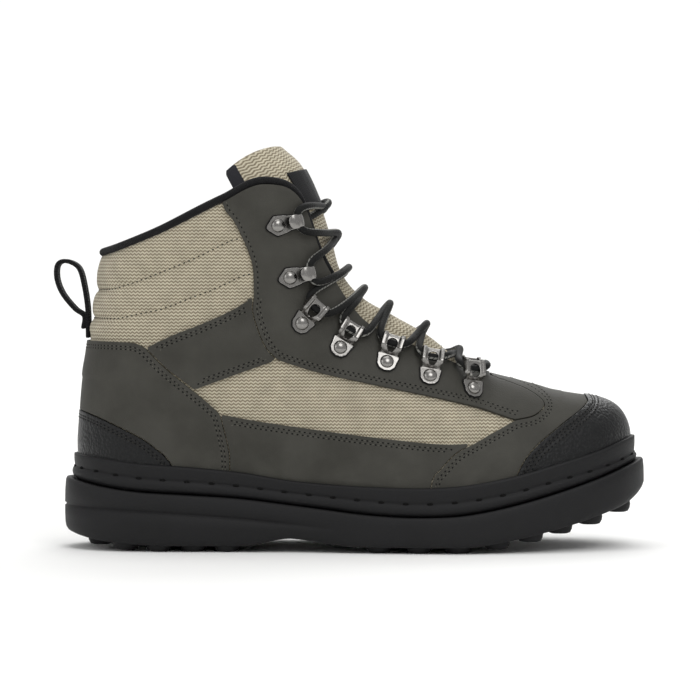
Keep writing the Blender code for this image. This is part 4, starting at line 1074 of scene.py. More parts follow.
class BOOT_OT_overlays(bpy.types.Operator):
    """Leather and rubber overlays, cut along their seams and sewn with rows of thread"""

    bl_idname = "boot.overlays"
    bl_label = "Overlays and stitches"

    def execute(self, context):
        sizes = context.scene.boot_sizes
        threads = {"spun thread": bmesh.new(), "dark thread": bmesh.new()}
        holes = bmesh.new()
        for name, (parts, seams, finish) in PANELS.items():
            lone = name in ("heel_panel", "heel_counter", "vamp_panel", "toe_cap")
            thickness = THICKNESS.get(name, 1.2 * MM)
            points, tags = outline(parts)
            for word, side in ({"": 0} if lone else SIDES).items():
                bm, out = skin_net(200, 84, False, side, GAP)
                field, _ = closed_field(seen_from_side(bm), points)
                layer = set_field(bm, field)
                cut_at(bm, layer, 0.25 * MM)
                self.puff(bm, out, points, tags, seams, sizes)
                thread = "dark thread" if finish == "pebbled_rubber" else "spun thread"
                self.sew(bm, layer, seams, points, tags, thickness, sizes, threads[thread], holes)
                node_name = f"{name}_{word}" if word else name
                kind = "coated leather" if finish == "olive_leather" else "pebbled rubber"
                obj = piece(bm, f"overlay_{node_name}", [material(kind)], [node_name])
                thicken(obj, thickness, 1.0)
                round_edges(obj, sizes.edge_round)
        for kind, bm in threads.items():
            piece(bm, kind.replace(" ", "_"), [material(kind)], [])
        # Painted shade of all the needle holes, as one piece
        piece(holes, "needle_hole_shade", [material("needle hole")], [])
        return {"FINISHED"}

    def puff(self, bm, out, points, tags, seams, sizes):
        """Presses a panel down along its stitches and lets it swell inside them."""
        bm.verts.ensure_lookup_table()
        field, nearest = closed_field(seen_from_side(bm), points)
        for v, value, k in zip(bm.verts, field, nearest):
            rows = seams.get(tags[k], 0)
            if not rows:
                continue
            middle = sizes.first_row + sizes.row_step * (rows - 1) / 2
            reach = middle + 4.5 * MM
            press = 0.22 * MM * math.exp(-((value - middle) / (1.1 * MM)) ** 2)
            swell = sizes.leather_puff * min(max((value - reach) / (8 * MM), 0.0), 1.0)
            v.co += Vector((v[out[0]], v[out[1]], v[out[2]])) * (swell - press)

    def sew(self, bm, layer, seams, points, tags, thickness, sizes, thread, holes):
        """Rows of stitches, each with its needle holes painted as near-black spots of shade, inside
        the edges that have them.
        """
        for row in range(max(seams.values())):
            level = 0.25 * MM + sizes.first_row + row * sizes.row_step
            for line in level_lines(bm, layer, level, thickness):
                spots = resample(line, sizes.stitch_pitch)
                if not spots:
                    continue
                places = np.array([(p.x, p.z) for p, _, _ in spots])
                _, nearest = closed_field(places, points)
                spots = [s for s, k in zip(spots, nearest) if seams.get(tags[k], 0) > row]
                stitch_mesh(thread, spots, sizes.stitch_length, sizes.stitch_width, 0.1 * MM)
                # Near-black spots between the stitches: painted shade of the needle holes
                step = sizes.stitch_pitch / 2
                gaps = [(p + run * step, n, run) for p, n, run in spots]
                stitch_mesh(holes, gaps, 1.35 * MM, 1.0 * MM, 0.2 * MM)


class BOOT_OT_quilting(bpy.types.Operator):
    """Dark stitches in the troughs of the quilted collar"""

    bl_idname = "boot.quilting"
    bl_label = "Quilting"

    def execute(self, context):
        sizes = context.scene.boot_sizes
        tree = surface_of("cloth_upper")[0]
        made = bmesh.new()
        bm, _ = skin_net(150, 64, True)
        places = seen_from_side(bm)
        for line in QUILTS:
            layer = set_field(bm, line_field(places, line))
            for row in level_lines(bm, layer, 0.0, 0.0):
                spots = []
                found = resample(row, sizes.stitch_pitch)
                open_cloth = boundary_fields(np.array([(p.x, p.z) for p, _, _ in found]))
                for (p, n, run), gap in zip(found, open_cloth):
                    if gap < 0.8 * MM or p.z < 0.1:
                        continue
                    near, _, _, _ = tree.ray_cast(p + n * 6 * MM, -n)
                    if near:
                        spots.append((near, n, run))
                stitch_mesh(made, spots, sizes.stitch_length * 0.85, 0.8 * MM, 0.0)
        bm.free()
        piece(made, "quilting_thread", [material("dark thread")], [])
        return {"FINISHED"}


# ---- binding, tongue and pull loop


class BOOT_OT_binding(bpy.types.Operator):
    """Round knitted binding on the collar and down the top of the throat"""

    bl_idname = "boot.binding"
    bl_label = "Collar binding"

    def execute(self, context):
        end = around(0.52)
        count = 90
        rows = []
        for side in (-1, 1):
            steps = [end * k / count for k in range(count + 1)]
            line = []
            for u in steps:
                top = wall(u, side, 1.0)[0]
                rise = top - wall(u, side, 0.98)[0]
                rise = rise / np.linalg.norm(rise)
                n = wall_normal(u, side, 1.0)[0]
                line.append(top + n * -0.4 * MM + rise * 2.1 * MM)
            rows.append(line)
        points = rows[0][::-1] + rows[1][1:]
        bm = bmesh.new()
        sweep(bm, points, BINDING_RADIUS, 14)
        piece(bm, "knitted_binding", [material("knitted binding")], ["collar_binding"])
        return {"FINISHED"}


@functools.lru_cache(maxsize=None)
def tongue_row(b):
    """Middle point, inward direction and sizes of the tongue at a share of its length."""
    def middle(where):
        return np.array([
            UPPER_X + UPPER_LENGTH * read("tongue", "x", where),
            SHAFT_HEIGHT * read("tongue", "z", where),
        ])

    run = middle(min(b + 0.01, 1.0)) - middle(max(b - 0.01, 0.0))
    run = run / np.linalg.norm(run)
    inward = np.array([-abs(run[1]), -abs(run[0]) * read("tongue", "lean", b)])
    inward = inward / np.linalg.norm(inward)
    return (
        middle(b), run, inward, SHAFT_WIDTH * read("tongue", "half", b),
        SHAFT_WIDTH * read("tongue", "drop", b), WALL * read("tongue", "thick", b),
    )


class BOOT_OT_tongue(bpy.types.Operator):
    """Padded mesh tongue with a dark lining and edge, and a bare sewn patch"""

    bl_idname = "boot.tongue"
    bl_label = "Tongue"

    def execute(self, context):
        rows, around_count = 90, 56
        lip, bound = 6, 4
        walked = [0.0]
        for k in range(rows):
            step = tongue_row((k + 1) / rows)[0] - tongue_row(k / rows)[0]
            walked.append(walked[-1] + float(np.linalg.norm(step)))

        def point(i, j):
            """Section of the tongue: its front from side to side, then its back."""
            b = min(j / rows, 1.0)
            middle, run, inward, half, drop, thick = tongue_row(b)
            over = max(j - rows, 0) / lip
            turn = 2 * math.pi * i / around_count
            across = math.copysign(abs(math.cos(turn)) ** 0.72, math.cos(turn))
            deep = 0.5 - 0.5 * math.copysign(abs(math.sin(turn)) ** 0.6, math.sin(turn))
            deep = 0.5 + (deep - 0.5) * math.sqrt(max(1 - over * over, 0.0))
            across *= 1 - 0.02 * over
            flat = middle + inward * (drop * across * across + deep * thick)
            flat = flat + run * over * thick * 0.4
            a = across * across
            flat = flat + np.array([0.0, TONGUE_HUMP * 4 * a * max(1 - a, 0.0) * b ** 6])
            where = min(max((flat[0] - UPPER_X) / UPPER_LENGTH, 0.0), 1.0)
            return Vector((flat[0], axis_y(around(where)) + half * across, flat[1]))

        bm = net(around_count, rows + lip, point)
        weave = bm.loops.layers.uv.new("weave")
        half_way = around_count // 2
        for k, face in enumerate(bm.faces):
            column = k % around_count
            edge = column < bound or column >= half_way - bound
            face.material_index = 1 if edge and face.calc_center_median().z > 0.12 else 0
            for loop in face.loops:
                p = loop.vert.co
                loop[weave].uv = (p.y, p.z * 0.86 - p.x * 0.5)
        bmesh.ops.remove_doubles(bm, verts=bm.verts, dist=2e-6)
        rims = [e for e in bm.edges if e.is_boundary]
        bmesh.ops.holes_fill(bm, edges=rims, sides=0)
        bmesh.ops.recalc_face_normals(bm, faces=bm.faces)
        obj = piece(
            bm, "padded_tongue", [material("polyester mesh padded"), material("lining knit")],
            ["tongue"],
        )
        self.patch(context)
        return {"FINISHED"}

    def patch(self, context):
        """Woven patch with nothing on it, sewn to the front of the tongue near its top."""
        tree = surface_of("padded_tongue")[0]
        columns, rows = 28, 16

        def point(i, j):
            across = (i / columns - 0.5) * PATCH_WIDTH
            start = Vector((-0.01, across, PATCH_FOOT + j / rows * PATCH_HEIGHT))
            hit = tree.ray_cast(start, Vector((-1, 0, -0.25)).normalized())
            hit = hit if hit[0] else tree.find_nearest(start)
            return hit[0] + hit[1] * 0.3 * MM

        bm = net(columns, rows, point)
        weave = bm.loops.layers.uv.new("weave")
        for face in bm.faces:
            for loop in face.loops:
                loop[weave].uv = (loop.vert.co.y, loop.vert.co.z)
        bm.normal_update()
        if sum(f.normal.x for f in bm.faces) < 0:
            bmesh.ops.reverse_faces(bm, faces=bm.faces)
        obj = piece(bm, "tongue_patch", [material("woven label")], [])
        thicken(obj, PATCH_THICKNESS, 1.0)
        round_edges(obj, 0.3 * MM)


class BOOT_OT_pull_loop(bpy.types.Operator):
    """Loop of webbing sewn to the back of the heel"""

    bl_idname = "boot.pull_loop"
    bl_label = "Pull loop"

    def execute(self, context):
        path = [side_point(p) for p in smooth_line(LOOP_PATH, 6)]
        walked = [0.0]
        for a, b in zip(path, path[1:]):
            walked.append(walked[-1] + float(np.linalg.norm(b - a)))
        across = 8
        half = 8 * MM

        def point(i, j):
            share = 2 * j / across - 1
            return Vector((path[i][0], half * share, path[i][1]))

        bm = net(len(path) - 1, across, point)
        weave = bm.loops.layers.uv.new("weave")
        spot = {}
        for v in bm.verts:
            gaps = [abs(v.co.x - p[0]) + abs(v.co.z - p[1]) for p in path]
            spot[v] = walked[gaps.index(min(gaps))]
        for face in bm.faces:
            for loop in face.loops:
                loop[weave].uv = (spot[loop.vert], loop.vert.co.y)
        bmesh.ops.recalc_face_normals(bm, faces=bm.faces)
        obj = piece(bm, "webbing_loop", [material("nylon webbing")], ["pull_loop"])
        thicken(obj, LOOP_THICKNESS, 0.0)
        round_edges(obj, 0.7 * MM)
        return {"FINISHED"}


# ---- hooks, rings and lace


def seat(x, z, side):
    """Place on the upper that has a given x and z, on one side."""
    best, span = (0.5, 0.5), (0.5, 0.5)
    for _ in range(7):
        tries = []
        shares = np.clip(best[1] + span[1] * np.arange(-8, 9) / 8, 0.0, 1.0)
        for step in np.arange(-8, 9) / 8:
            u = min(max(best[0] + span[0] * step, 0.0), 1.0)
            places = wall(u, side, shares)
            miss = (places[:, 0] - x) ** 2 + (places[:, 2] - z) ** 2
            k = int(miss.argmin())
            tries.append((float(miss[k]), u, float(shares[k])))
        best = min(tries)[1:]
        span = (span[0] / 4, span[1] / 4)
    return best


def fitting_frame(share, side, pitch, surfaces):
    """Frame of a rivet: x along the eyestay, y to the throat, z out of the leather."""
    x, z = side_point(share)
    run = Vector((math.cos(math.radians(pitch)), 0.0, math.sin(math.radians(pitch))))
    u, t = seat(x, z, side)
    n = Vector(wall_normal(u, side, t)[0])
    # Towards the toe the leather flattens, but a plate keeps some of the eyestay's slope
    n = (n + Vector((0.0, side * max(0.9 - abs(n.y), 0.0) * 1.6, 0.0))).normalized()
    toward = (run - n * run.dot(n)).normalized()
    across = toward.cross(n)
    made = Matrix((
        (across.x, toward.x, n.x, 0), (across.y, toward.y, n.y, 0),
        (across.z, toward.z, n.z, 0), (0, 0, 0, 1),
    ))
    made.translation = Vector(wall(u, side, t)[0])
    need = 0.0
    for dx in (-3.5, 0, 3.5):
        for dy in (-3.5, 0, 4):
            above = made @ (Vector((dx, dy, 10)) * MM)
            for tree in surfaces:
                hit = tree.ray_cast(above, -n, 20 * MM)
                if hit[0]:
                    need = max(need, 10 * MM - hit[3])
    return Matrix.Translation(n * need) @ made


# Right half of each plate's outline, in mm across and along it from its rivet
RING_LEAF = [
    (0.0, -5.2), (3.0, -4.4), (4.8, -2.1), (5.1, 0.4), (5.6, 3.0), (5.6, 4.2), (4.6, 5.0),
    (4.8, 6.2), (6.0, 7.0), (6.1, 13.2), (5.8, 14.9), (4.4, 15.2), (4.1, 14.3), (0.0, 14.1),
]
HOOK_LEAF = [
    (0.0, -6.4), (1.2, -5.9), (5.1, -1.6), (5.2, 0.0), (4.5, 4.6), (3.9, 6.4), (3.7, 9.4),
    (0.0, 9.4),
]


def pressed_plate(bm, leaf, shape, hole=None):
    """Adds a pressed sheet-metal plate: a leaf outline, a hole, and heights given by shape."""
    points = np.array(leaf + [(-x, y) for x, y in reversed(leaf[1:-1])]) * MM
    low, high = points.min(axis=0) - 0.3 * MM, points.max(axis=0) + 0.3 * MM
    sheet = bmesh.new()
    sheet.verts.layers.float.new("field")
    columns, rows = 26, 40
    bmesh.ops.create_grid(sheet, x_segments=columns, y_segments=rows, size=1.0)
    for v in sheet.verts:
        v.co.x = low[0] + (v.co.x + 1) / 2 * (high[0] - low[0])
        v.co.y = low[1] + (v.co.y + 1) / 2 * (high[1] - low[1])
    places = np.array([(v.co.x, v.co.y) for v in sheet.verts])
    field = closed_field(places, points)[0]
    if hole:
        middle, across, tall = hole
        gap = np.hypot(places[:, 0] / across, (places[:, 1] - middle) / tall) - 1
        field = np.minimum(field, gap * min(across, tall))
    cut_at(sheet, set_field(sheet, field), 0.0)
    for v in sheet.verts:
        v.co = Vector(shape(v.co.x / MM, v.co.y / MM)) * MM
    add_sheet(bm, sheet)


def ring_shape(x, y):
    """Flat at the rivet, then bent up into a bridge over the lace with a raised rib each side."""
    rise = 3.9 * float(soft_step(y, 4.4, 7.0)) - 1.0 * float(soft_step(y, 13.0, 15.3))
    rib = 1.3 * math.exp(-((abs(x) - 4.7) / 0.8) ** 2) * float(soft_step(y, 5.5, 7.6))
    bend = 1.5 * float(soft_step(abs(x), 4.9, 6.0)) * float(soft_step(y, 6.0, 8.0))
    return x, y, 0.2 + rise + rib - bend


def hook_shape(x, y):
    """Flat all over: the part that curls over the lace is made on its own."""
    return x, y, 0.2


class BOOT_OT_fittings(bpy.types.Operator):
    """Riveted lace hooks and rings in dark nickel"""

    bl_idname = "boot.fittings"
    bl_label = "Hooks and rings"

    def execute(self, context):
        sheet = context.scene.boot_sizes.metal_sheet
        for (word, k), place in fitting_frames().items():
            kind = RIVETS[k][0]
            bm = bmesh.new()
            if kind == "ring":
                pressed_plate(bm, RING_LEAF, ring_shape, (9.1 * MM, 3.0 * MM, 3.4 * MM))
            else:
                pressed_plate(bm, HOOK_LEAF, hook_shape)
                self.curl(bm)
            bm.normal_update()
            for face in list(bm.faces):
                if face.normal.z < 0 and kind == "ring":
                    face.normal_flip()
            bmesh.ops.solidify(bm, geom=bm.faces[:], thickness=-sheet)
            self.rivet(bm, sheet)
            bmesh.ops.recalc_face_normals(bm, faces=bm.faces)
            # Black plate under each fitting: a painted shadow that shows as a dark line round it
            self.backing(bm, RING_LEAF[:6] + [(0.0, 4.8)] if kind == "ring" else HOOK_LEAF)
            bm.transform(place)
            name = f"lace_{kind}_{word}_{k + 1}"
            obj = piece(
                bm, f"nickel_{kind}_{word}_{k + 1}",
                [material("dark nickel"), material("fibre backing")], [name],
            )
            round_edges(obj, 0.22 * MM, 40)
        return {"FINISHED"}

    def rivet(self, bm, sheet):
        """Low domed rivet head."""
        base = bmesh.ops.create_uvsphere(bm, u_segments=28, v_segments=14, radius=1.0)["verts"]
        bmesh.ops.scale(bm, verts=base, vec=(3.7 * MM, 3.7 * MM, 2.1 * MM))
        bmesh.ops.translate(bm, verts=base, vec=(0, 0, sheet + 0.3 * MM))

    def backing(self, bm, leaf):
        """Painted shadow: a black plate a little wider than the fitting, showing as a dark line
        round it.
        """
        wide = [(x * 1.12, (y - 2) * 1.08 + 2) for x, y in leaf]
        part = bmesh.new()
        pressed_plate(part, wide, lambda x, y: (x, y, 0.15))
        for face in part.faces:
            if face.normal.z < 0:
                face.normal_flip()
        bmesh.ops.solidify(part, geom=part.faces[:], thickness=-0.45 * MM)
        for face in part.faces:
            face.material_index = 1
        add_sheet(bm, part)

    def curl(self, bm):
        """Tongue of the hook, rolled back over the lace, with a round end."""
        columns, rows = 14, 36
        made = bmesh.ops.create_grid(bm, x_segments=columns, y_segments=rows, size=1.0)["verts"]
        radius, flat = 2.9, 2.9
        bend = math.pi * radius
        for v in made:
            across = v.co.x
            s = (v.co.y + 1) / 2 * (bend + flat * 2)
            turn = min(s, bend) / radius
            beyond = max(s - bend, 0.0)
            tip = math.sqrt(max(1 - max(beyond - flat, 0.0) ** 2 / flat ** 2, 0.01))
            wide = (3.2 + 0.5 * min(beyond, 1.0)) * tip
            crown = 0.5 * (1 - across * across) * min(s / bend, 1.0)
            y = 10.6 + (radius + crown) * math.sin(turn) - beyond
            z = radius + 0.2 - (radius + crown) * math.cos(turn)
            z += 0.6 * math.sin(math.pi * min(beyond / (flat * 2), 1.0))
            v.co = Vector((across * wide, y, z)) * MM


@functools.lru_cache(maxsize=None)
def fitting_frames():
    """Frames of all the fittings, seated on the finished overlays."""
    frames = {}
    for word, side in SIDES.items():
        surfaces = surface_of(f"overlay_eyestay_{word}", "overlay_vamp_panel", "cloth_upper")
        for k, (_, x, z, pitch) in enumerate(RIVETS):
            frames[(word, k)] = fitting_frame((x, z), side, pitch, surfaces)
    return frames


def clear_of(point, surfaces, distance):
    """Moves a point out until it is a distance from every surface."""
    for surface in surfaces:
        near, _, _, gap = surface.find_nearest(point)
        if gap < distance:
            point = near + (point - near).normalized() * distance
    return point


def strand(start, end, surfaces, distance, hump):
    """Taut row of points over the tongue; hump lifts its middle over another strand."""
    steps, rounds = 14, 110
    up = Vector((1.0, 0.0, 1.2)) * 16 * MM
    shares = [k / steps for k in range(steps + 1)]
    points = [start.lerp(end, s) + up * math.sqrt(math.sin(math.pi * s)) for s in shares[:-1]]
    points.append(end)
    for done in range(rounds):
        for k in range(1, steps):
            if done < rounds * 0.7:
                points[k] = (points[k - 1] + points[k + 1]) / 2
            points[k] = clear_of(points[k], surfaces, distance)
        if done > rounds * 0.7:
            continue
        for k in range(steps):
            place = points[k].lerp(points[k + 1], 0.5)
            push = clear_of(place, surfaces, distance) - place
            if k > 0:
                points[k] = points[k] + push
            if k + 1 < steps:
                points[k + 1] = points[k + 1] + push
    away = (up / up.length) * hump
    return [
        p + away * math.exp(-((s - 0.5) / 0.2) ** 2) * math.sin(math.pi * s)
        for p, s in zip(points, shares)
    ]


def lace_spots(place, kind, turn, side):
    """Points where the lace goes through a ring or round a hook; turn is 1 towards the toe."""
    hand = turn * -side
    if kind == "ring":
        rows = [(8.3, 13.2, 3.0), (6.2, 11.4, 2.2), (3.0, 10.2, 1.9)]
    else:
        rows = [(6.8, 13.4, 3.4), (5.4, 11.2, 3.1), (2.6, 10.2, 3.0)]
    return [place @ (Vector((hand * x, y, z)) * MM) for x, y, z in rows]


class BOOT_OT_lace(bpy.types.Operator):
    """One round lace through the rings and round the hooks, with both ends tucked away"""

    bl_idname = "boot.lace"
    bl_label = "Lace"

    def execute(self, context):
        radius = context.scene.boot_sizes.lace_width / 2
        frames = fitting_frames()
        surfaces = surface_of(
            "padded_tongue", "knitted_binding", "overlay_eyestay_lateral",
            "overlay_eyestay_medial", "overlay_vamp_panel",
        )
        distance = radius + 0.3 * MM

        def spots(word, k, turn):
            rows = lace_spots(frames[(word, k)], RIVETS[k][0], turn, SIDES[word])
            return [clear_of(rows[0], surfaces[2:], distance)] + rows[1:]

        def other(word):
            return "medial" if word == "lateral" else "lateral"

        last = len(RIVETS) - 1
        lines = {}
        for word in SIDES:
            for k in range(last):
                start = spots(word, k, 1)[0]
                end = spots(other(word), k + 1, -1)[0]
                over = (word == "lateral") == (k % 2 == 0)
                lines[(word, k)] = strand(
                    start, end, surfaces, distance, 4.0 * MM if over else 0.0
                )
        bar = strand(spots("lateral", last, 1)[0], spots("medial", last, 1)[0], surfaces,
                     distance, 0.0)

        def half(word):
            """From a tucked end, by way of every other fitting, to the bar at the foot."""
            side = SIDES[word]
            tuck = wall(around(0.452), -side, 1.0)[0] - np.array([0.0, -side * 6 * MM, 0.0])
            tuck = clear_of(Vector(tuck), surfaces[:1], distance)
            here = word
            first = strand(spots(here, 0, -1)[0], tuck, surfaces, distance,
                           4.0 * MM if word == "medial" else 0.0)
            row = first[::-1]
            for k in range(last + 1):
                row += spots(here, k, -1)[1:] + spots(here, k, 1)[:0:-1]
                if k < last:
                    row += lines[(here, k)]
                    here = other(here)
            return row, here

        one, foot = half("lateral")
        two, _ = half("medial")
        path = one + (bar if foot == "lateral" else bar[::-1]) + two[::-1]
        path = self.smooth(path)
        bm = bmesh.new()
        sweep(bm, path, radius, 12)
        nodes = [f"lace_crossing_{k + 1}" for k in range(last)] + ["lace_bar", "lace_ends"]
        piece(bm, "round_lace", [material("braided lace")], nodes)
        return {"FINISHED"}

    def smooth(self, path):
        """Even, rounded row of points through the lace's rough path."""
        kept = [path[0]]
        for p in path[1:]:
            if (p - kept[-1]).length > 1.2 * MM:
                kept.append(p)
        for _ in range(2):
            kept = [kept[0]] + [
                (a + b * 2 + c) / 4 for a, b, c in zip(kept, kept[1:], kept[2:])
            ] + [kept[-1]]
        points = np.array([list(p) for p in kept])
        fine = smooth_line(points, 3)
        return [Vector(p) for p in fine]


# ---- sole


def closed_ring_net(levels, count=110):
    """Closed wall round the boot, each row placed by a level, with a strip across each end."""
    def point(i, j):
        u, side = (i / count, -1) if i <= count else (2 - i / count, 1)
        return Vector(levels[j](round(u, 9), side))

    bm = net(2 * count, len(levels) - 1, point)
    for level in (levels[0], levels[-1]):
        def across(i, j, level=level):
            u = i / count
            a, b = np.array(level(u, -1)), np.array(level(u, 1))
            return Vector(a + (b - a) * j / 8)
        add_sheet(bm, net(count, 8, across))
    bmesh.ops.remove_doubles(bm, verts=bm.verts, dist=2e-6)
    bmesh.ops.dissolve_degenerate(bm, dist=1e-7, edges=bm.edges)
    bmesh.ops.recalc_face_normals(bm, faces=bm.faces)
    return bm


def side_level(out, low, high, share, lift=0.0, groove=0.0):
    """One row of the sole's side: how far out it stands, and its height between two lines."""
    @functools.lru_cache(maxsize=None)
    def point(u, side):
        fade = 1.0 - min(max((along(u) - 0.36) / 0.12, 0.0), 1.0)
        edge = feather(u, side) + outward(u, side) * (out - groove * fade)
        a, b = sole_height(low, edge[0]), sole_height(high, edge[0])
        return (edge[0], edge[1], a + (b - a) * share + lift)
    return point


class BOOT_OT_sole(bpy.types.Operator):
    """Moulded outsole with its studs, the welt of two rolls, its long stitches, the footbed"""

    bl_idname = "boot.sole"
    bl_label = "Sole"

    def execute(self, context):
        full = OUTSOLE_MARGIN
        groove = SIDE_GROOVE_DEPTH
        levels = [
            side_level(full - 3 * MM, "base", "top", 0.0),
            side_level(full - 1.6 * MM, "base", "top", 0.015),
            side_level(full - 0.7 * MM, "base", "top", 0.06),
            side_level(full - 0.2 * MM, "base", "top", 0.14),
            side_level(full, "base", "side_groove", 0.6),
            side_level(full, "side_groove", "top", 0.0, -1.0 * MM),
            side_level(full, "side_groove", "top", 0.0, -0.6 * MM, groove * 0.7),
            side_level(full, "side_groove", "top", 0.0, 0.0, groove),
            side_level(full, "side_groove", "top", 0.0, 0.6 * MM, groove * 0.7),
            side_level(full, "side_groove", "top", 0.0, 1.0 * MM),
            side_level(full - 0.1 * MM, "side_groove", "top", 0.5),
            side_level(full - 0.5 * MM, "side_groove", "top", 0.86),
            side_level(full - 1.1 * MM, "side_groove", "top", 0.97),
            side_level(OUTSOLE_SHOULDER, "side_groove", "top", 1.0),
        ]
        bm = closed_ring_net(levels)
        self.studs(bm)
        piece(bm, "moulded_outsole", [material("moulded rubber")], ["outsole"])
        self.welt()
        self.welt_stitches(context.scene.boot_sizes.welt_pitch)
        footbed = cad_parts["insole"]
        footbed.data.materials.clear()
        footbed.data.materials.append(material("foam footbed"))
        return {"FINISHED"}

    def studs(self, bm):
        """Low domed studs under the heel and the forefoot."""
        for station, count, spread in STUD_ROWS:
            x = HEEL_X + SOLE_LENGTH * station
            u = around((x - UPPER_X) / UPPER_LENGTH)
            margin = OUTSOLE_MARGIN - 3 * MM
            low, high = feather(u, -1)[1] - margin, feather(u, 1)[1] + margin
            middle, half = (low + high) / 2, (high - low) / 2 * spread
            foot = sole_height("base", x) - STUD_HEIGHT
            row = bmesh.new()
            for k in range(count):
                y = middle - half + 2 * half * k / (count - 1)
                made = bmesh.ops.create_uvsphere(row, u_segments=20, v_segments=10, radius=1.0)
                for v in made["verts"]:
                    flat = math.copysign(min(abs(v.co.z) * 1.5, 1.0), v.co.z)
                    v.co = Vector((x + v.co.x * 7 * MM, y + v.co.y * 7 * MM,
                                   foot + (1 + flat) * 4.2 * MM))
            add_sheet(bm, row)

    def welt(self):
        """Two rubber rolls with the stitch groove between them."""
        waist = WELT_MARGIN - STITCH_GROOVE_DEPTH
        levels = [side_level(waist - 1 * MM, "top", "stitch", 0.0, GAP)]
        for turn in (0.12, 0.3, 0.5, 0.7, 0.9):
            bow = math.sin(math.pi * turn) ** 0.6
            out = waist + STITCH_GROOVE_DEPTH * bow
            levels.append(side_level(out, "top", "stitch", turn, 0.3 * MM * (1 - turn)))
        levels.append(side_level(waist - 0.3 * MM, "top", "stitch", 1.0))
        for turn in (0.08, 0.2, 0.4, 0.6, 0.78, 0.92):
            bow = math.sin(math.pi * (0.1 + turn * 0.62)) ** 0.6
            out = waist - 0.4 * MM + (STITCH_GROOVE_DEPTH - 0.6 * MM) * bow
            levels.append(side_level(out, "stitch", "rim", turn))
        levels.append(side_level(WELT_MARGIN * 0.52, "stitch", "rim", 1.0))

        def lip(u, side):
            start = rim_share(u, side)
            return wall(u, side, start * 0.97)[0] + wall_normal(u, side, start)[0] * GAP

        levels.append(lip)
        bm = closed_ring_net(levels)
        piece(bm, "moulded_welt", [material("moulded rubber")], ["welt"])

    def welt_stitches(self, pitch):
        """Dark stitches that dip into the welt's groove."""
        waist = WELT_MARGIN - STITCH_GROOVE_DEPTH
        level = side_level(waist + 0.2 * MM, "top", "stitch", 1.0)
        count = 400
        row = []
        for i in range(2 * count):
            u, side = (i / count, -1) if i <= count else (2 - i / count, 1)
            out = outward(u, side)
            row.append((np.array(level(u, side)), np.array([out[0], out[1], 0.0])))
        bm = bmesh.new()
        stitch_mesh(bm, resample(row, pitch), pitch * 0.3, 1.8 * MM, 0.1 * MM)
        piece(bm, "welt_stitches", [material("needle hole")], [])


# ---- stage


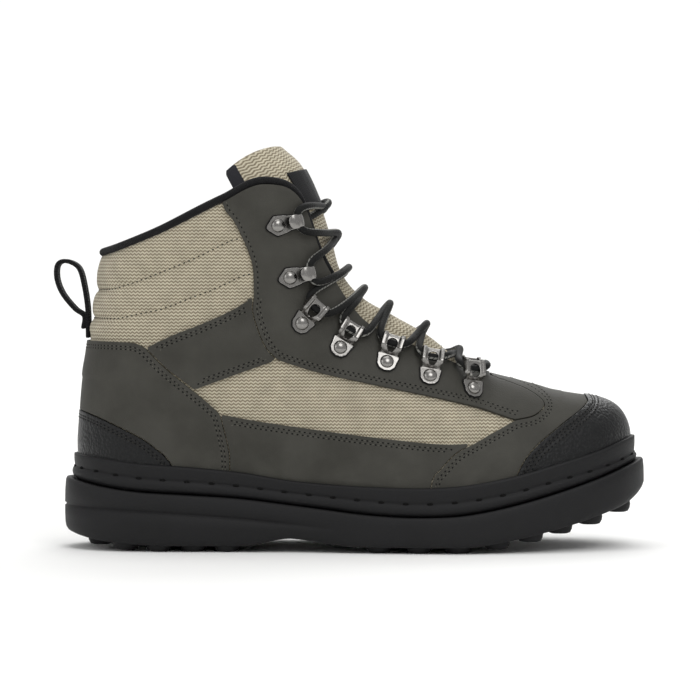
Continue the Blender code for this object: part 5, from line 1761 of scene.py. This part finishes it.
class BOOT_OT_stage(bpy.types.Operator):
    """Pale floor, soft studio lights and the camera"""

    bl_idname = "boot.stage"
    bl_label = "Stage"

    def execute(self, context):
        scene = context.scene
        bm = bmesh.new()
        bmesh.ops.create_grid(bm, x_segments=4, y_segments=60, size=6.0)
        for v in bm.verts:
            # Behind the boot the sheet sweeps up into a plain backdrop
            bend = min(max(v.co.y - 1.5, 0.0), 2.0)
            rest = max(v.co.y - 3.5, 0.0)
            turn = bend / 2.0 * math.pi / 2
            radius = 4.0 / math.pi
            v.co.y = min(v.co.y, 1.5) + radius * math.sin(turn)
            v.co.z = radius * (1 - math.cos(turn)) + rest
        mesh = bpy.data.meshes.new("floor")
        bm.to_mesh(mesh)
        bm.free()
        floor = bpy.data.objects.new("floor", mesh)
        scene.collection.objects.link(floor)
        made, _, _ = blank_material("matt floor", scene.boot_colours.floor, 0.9)
        mesh.materials.append(made)
        mesh.shade_smooth()
        world = bpy.data.worlds.new("studio")
        world.use_nodes = True
        world.node_tree.nodes["Background"].inputs[0].default_value = (1.0, 1.0, 1.0, 1.0)
        world.node_tree.nodes["Background"].inputs[1].default_value = 0.6
        scene.world = world
        scene.view_settings.view_transform = "Standard"
        self.lamp("key_light", (0.5, -1.3, 1.3), 1.0, 9.0)
        self.lamp("fill_light", (-1.3, -0.9, 0.7), 1.0, 3.0)
        self.lamp("back_light", (0.2, 1.3, 1.2), 1.2, 8.0)
        self.lamp("top_light", (0.0, 0.0, 2.5), 2.0, 14.0)
        self.lamp("backdrop_light", (0.0, 1.6, 2.4), 2.0, 16.0, (0.0, 3.4, 1.0))
        self.camera()
        return {"FINISHED"}

    def lamp(self, name, place, size, watts, target=(0.0, 0.0, 0.1)):
        data = bpy.data.lights.new(name, "AREA")
        data.shape = "DISK"
        data.size = size
        data.energy = watts
        obj = bpy.data.objects.new(name, data)
        obj.location = place
        aim = Vector(target) - obj.location
        obj.rotation_euler = aim.to_track_quat("-Z", "Y").to_euler()
        bpy.context.scene.collection.objects.link(obj)

    def camera(self):
        """Side view from 1.8 m away, 1.5 degrees above the horizon."""
        data = bpy.data.cameras.new("camera")
        data.lens = 171.0
        data.sensor_width = 36.0
        data.clip_start, data.clip_end = 0.05, 50.0
        obj = bpy.data.objects.new("camera", data)
        bpy.context.scene.collection.objects.link(obj)
        rise = math.radians(1.5)
        target = Vector((0.00005, 0.0, 0.106))
        back = Vector((0.0, -math.cos(rise), math.sin(rise)))
        obj.location = target + back * 1.8
        obj.rotation_euler = (-back).to_track_quat("-Z", "Y").to_euler()
        bpy.context.scene.camera = obj


STEPS = (
    BOOT_OT_upper, BOOT_OT_overlays, BOOT_OT_quilting, BOOT_OT_binding, BOOT_OT_tongue,
    BOOT_OT_pull_loop, BOOT_OT_fittings, BOOT_OT_lace, BOOT_OT_sole, BOOT_OT_stage,
)


class BOOT_PT_looks(bpy.types.Panel):
    """Lists the steps that build the boot, with its sizes and colours"""

    bl_idname = "BOOT_PT_looks"
    bl_label = "Wading boot"
    bl_space_type = "VIEW_3D"
    bl_region_type = "UI"
    bl_category = "Boot"

    def draw(self, context):
        for group in (context.scene.boot_sizes, context.scene.boot_colours):
            for name in group.__annotations__:
                self.layout.prop(group, name)
        for step in STEPS:
            self.layout.operator(step.bl_idname)


CLASSES = (BootSizes, BootColours, *STEPS, BOOT_PT_looks)


def register():
    for made in CLASSES:
        bpy.utils.register_class(made)
    bpy.types.Scene.boot_sizes = bpy.props.PointerProperty(type=BootSizes)
    bpy.types.Scene.boot_colours = bpy.props.PointerProperty(type=BootColours)


def unregister():
    del bpy.types.Scene.boot_sizes
    del bpy.types.Scene.boot_colours
    for made in reversed(CLASSES):
        bpy.utils.unregister_class(made)


def main():
    register()
    for step in STEPS:
        group, name = step.bl_idname.split(".")
        getattr(getattr(bpy.ops, group), name)()


if __name__ == "__main__":
    main()
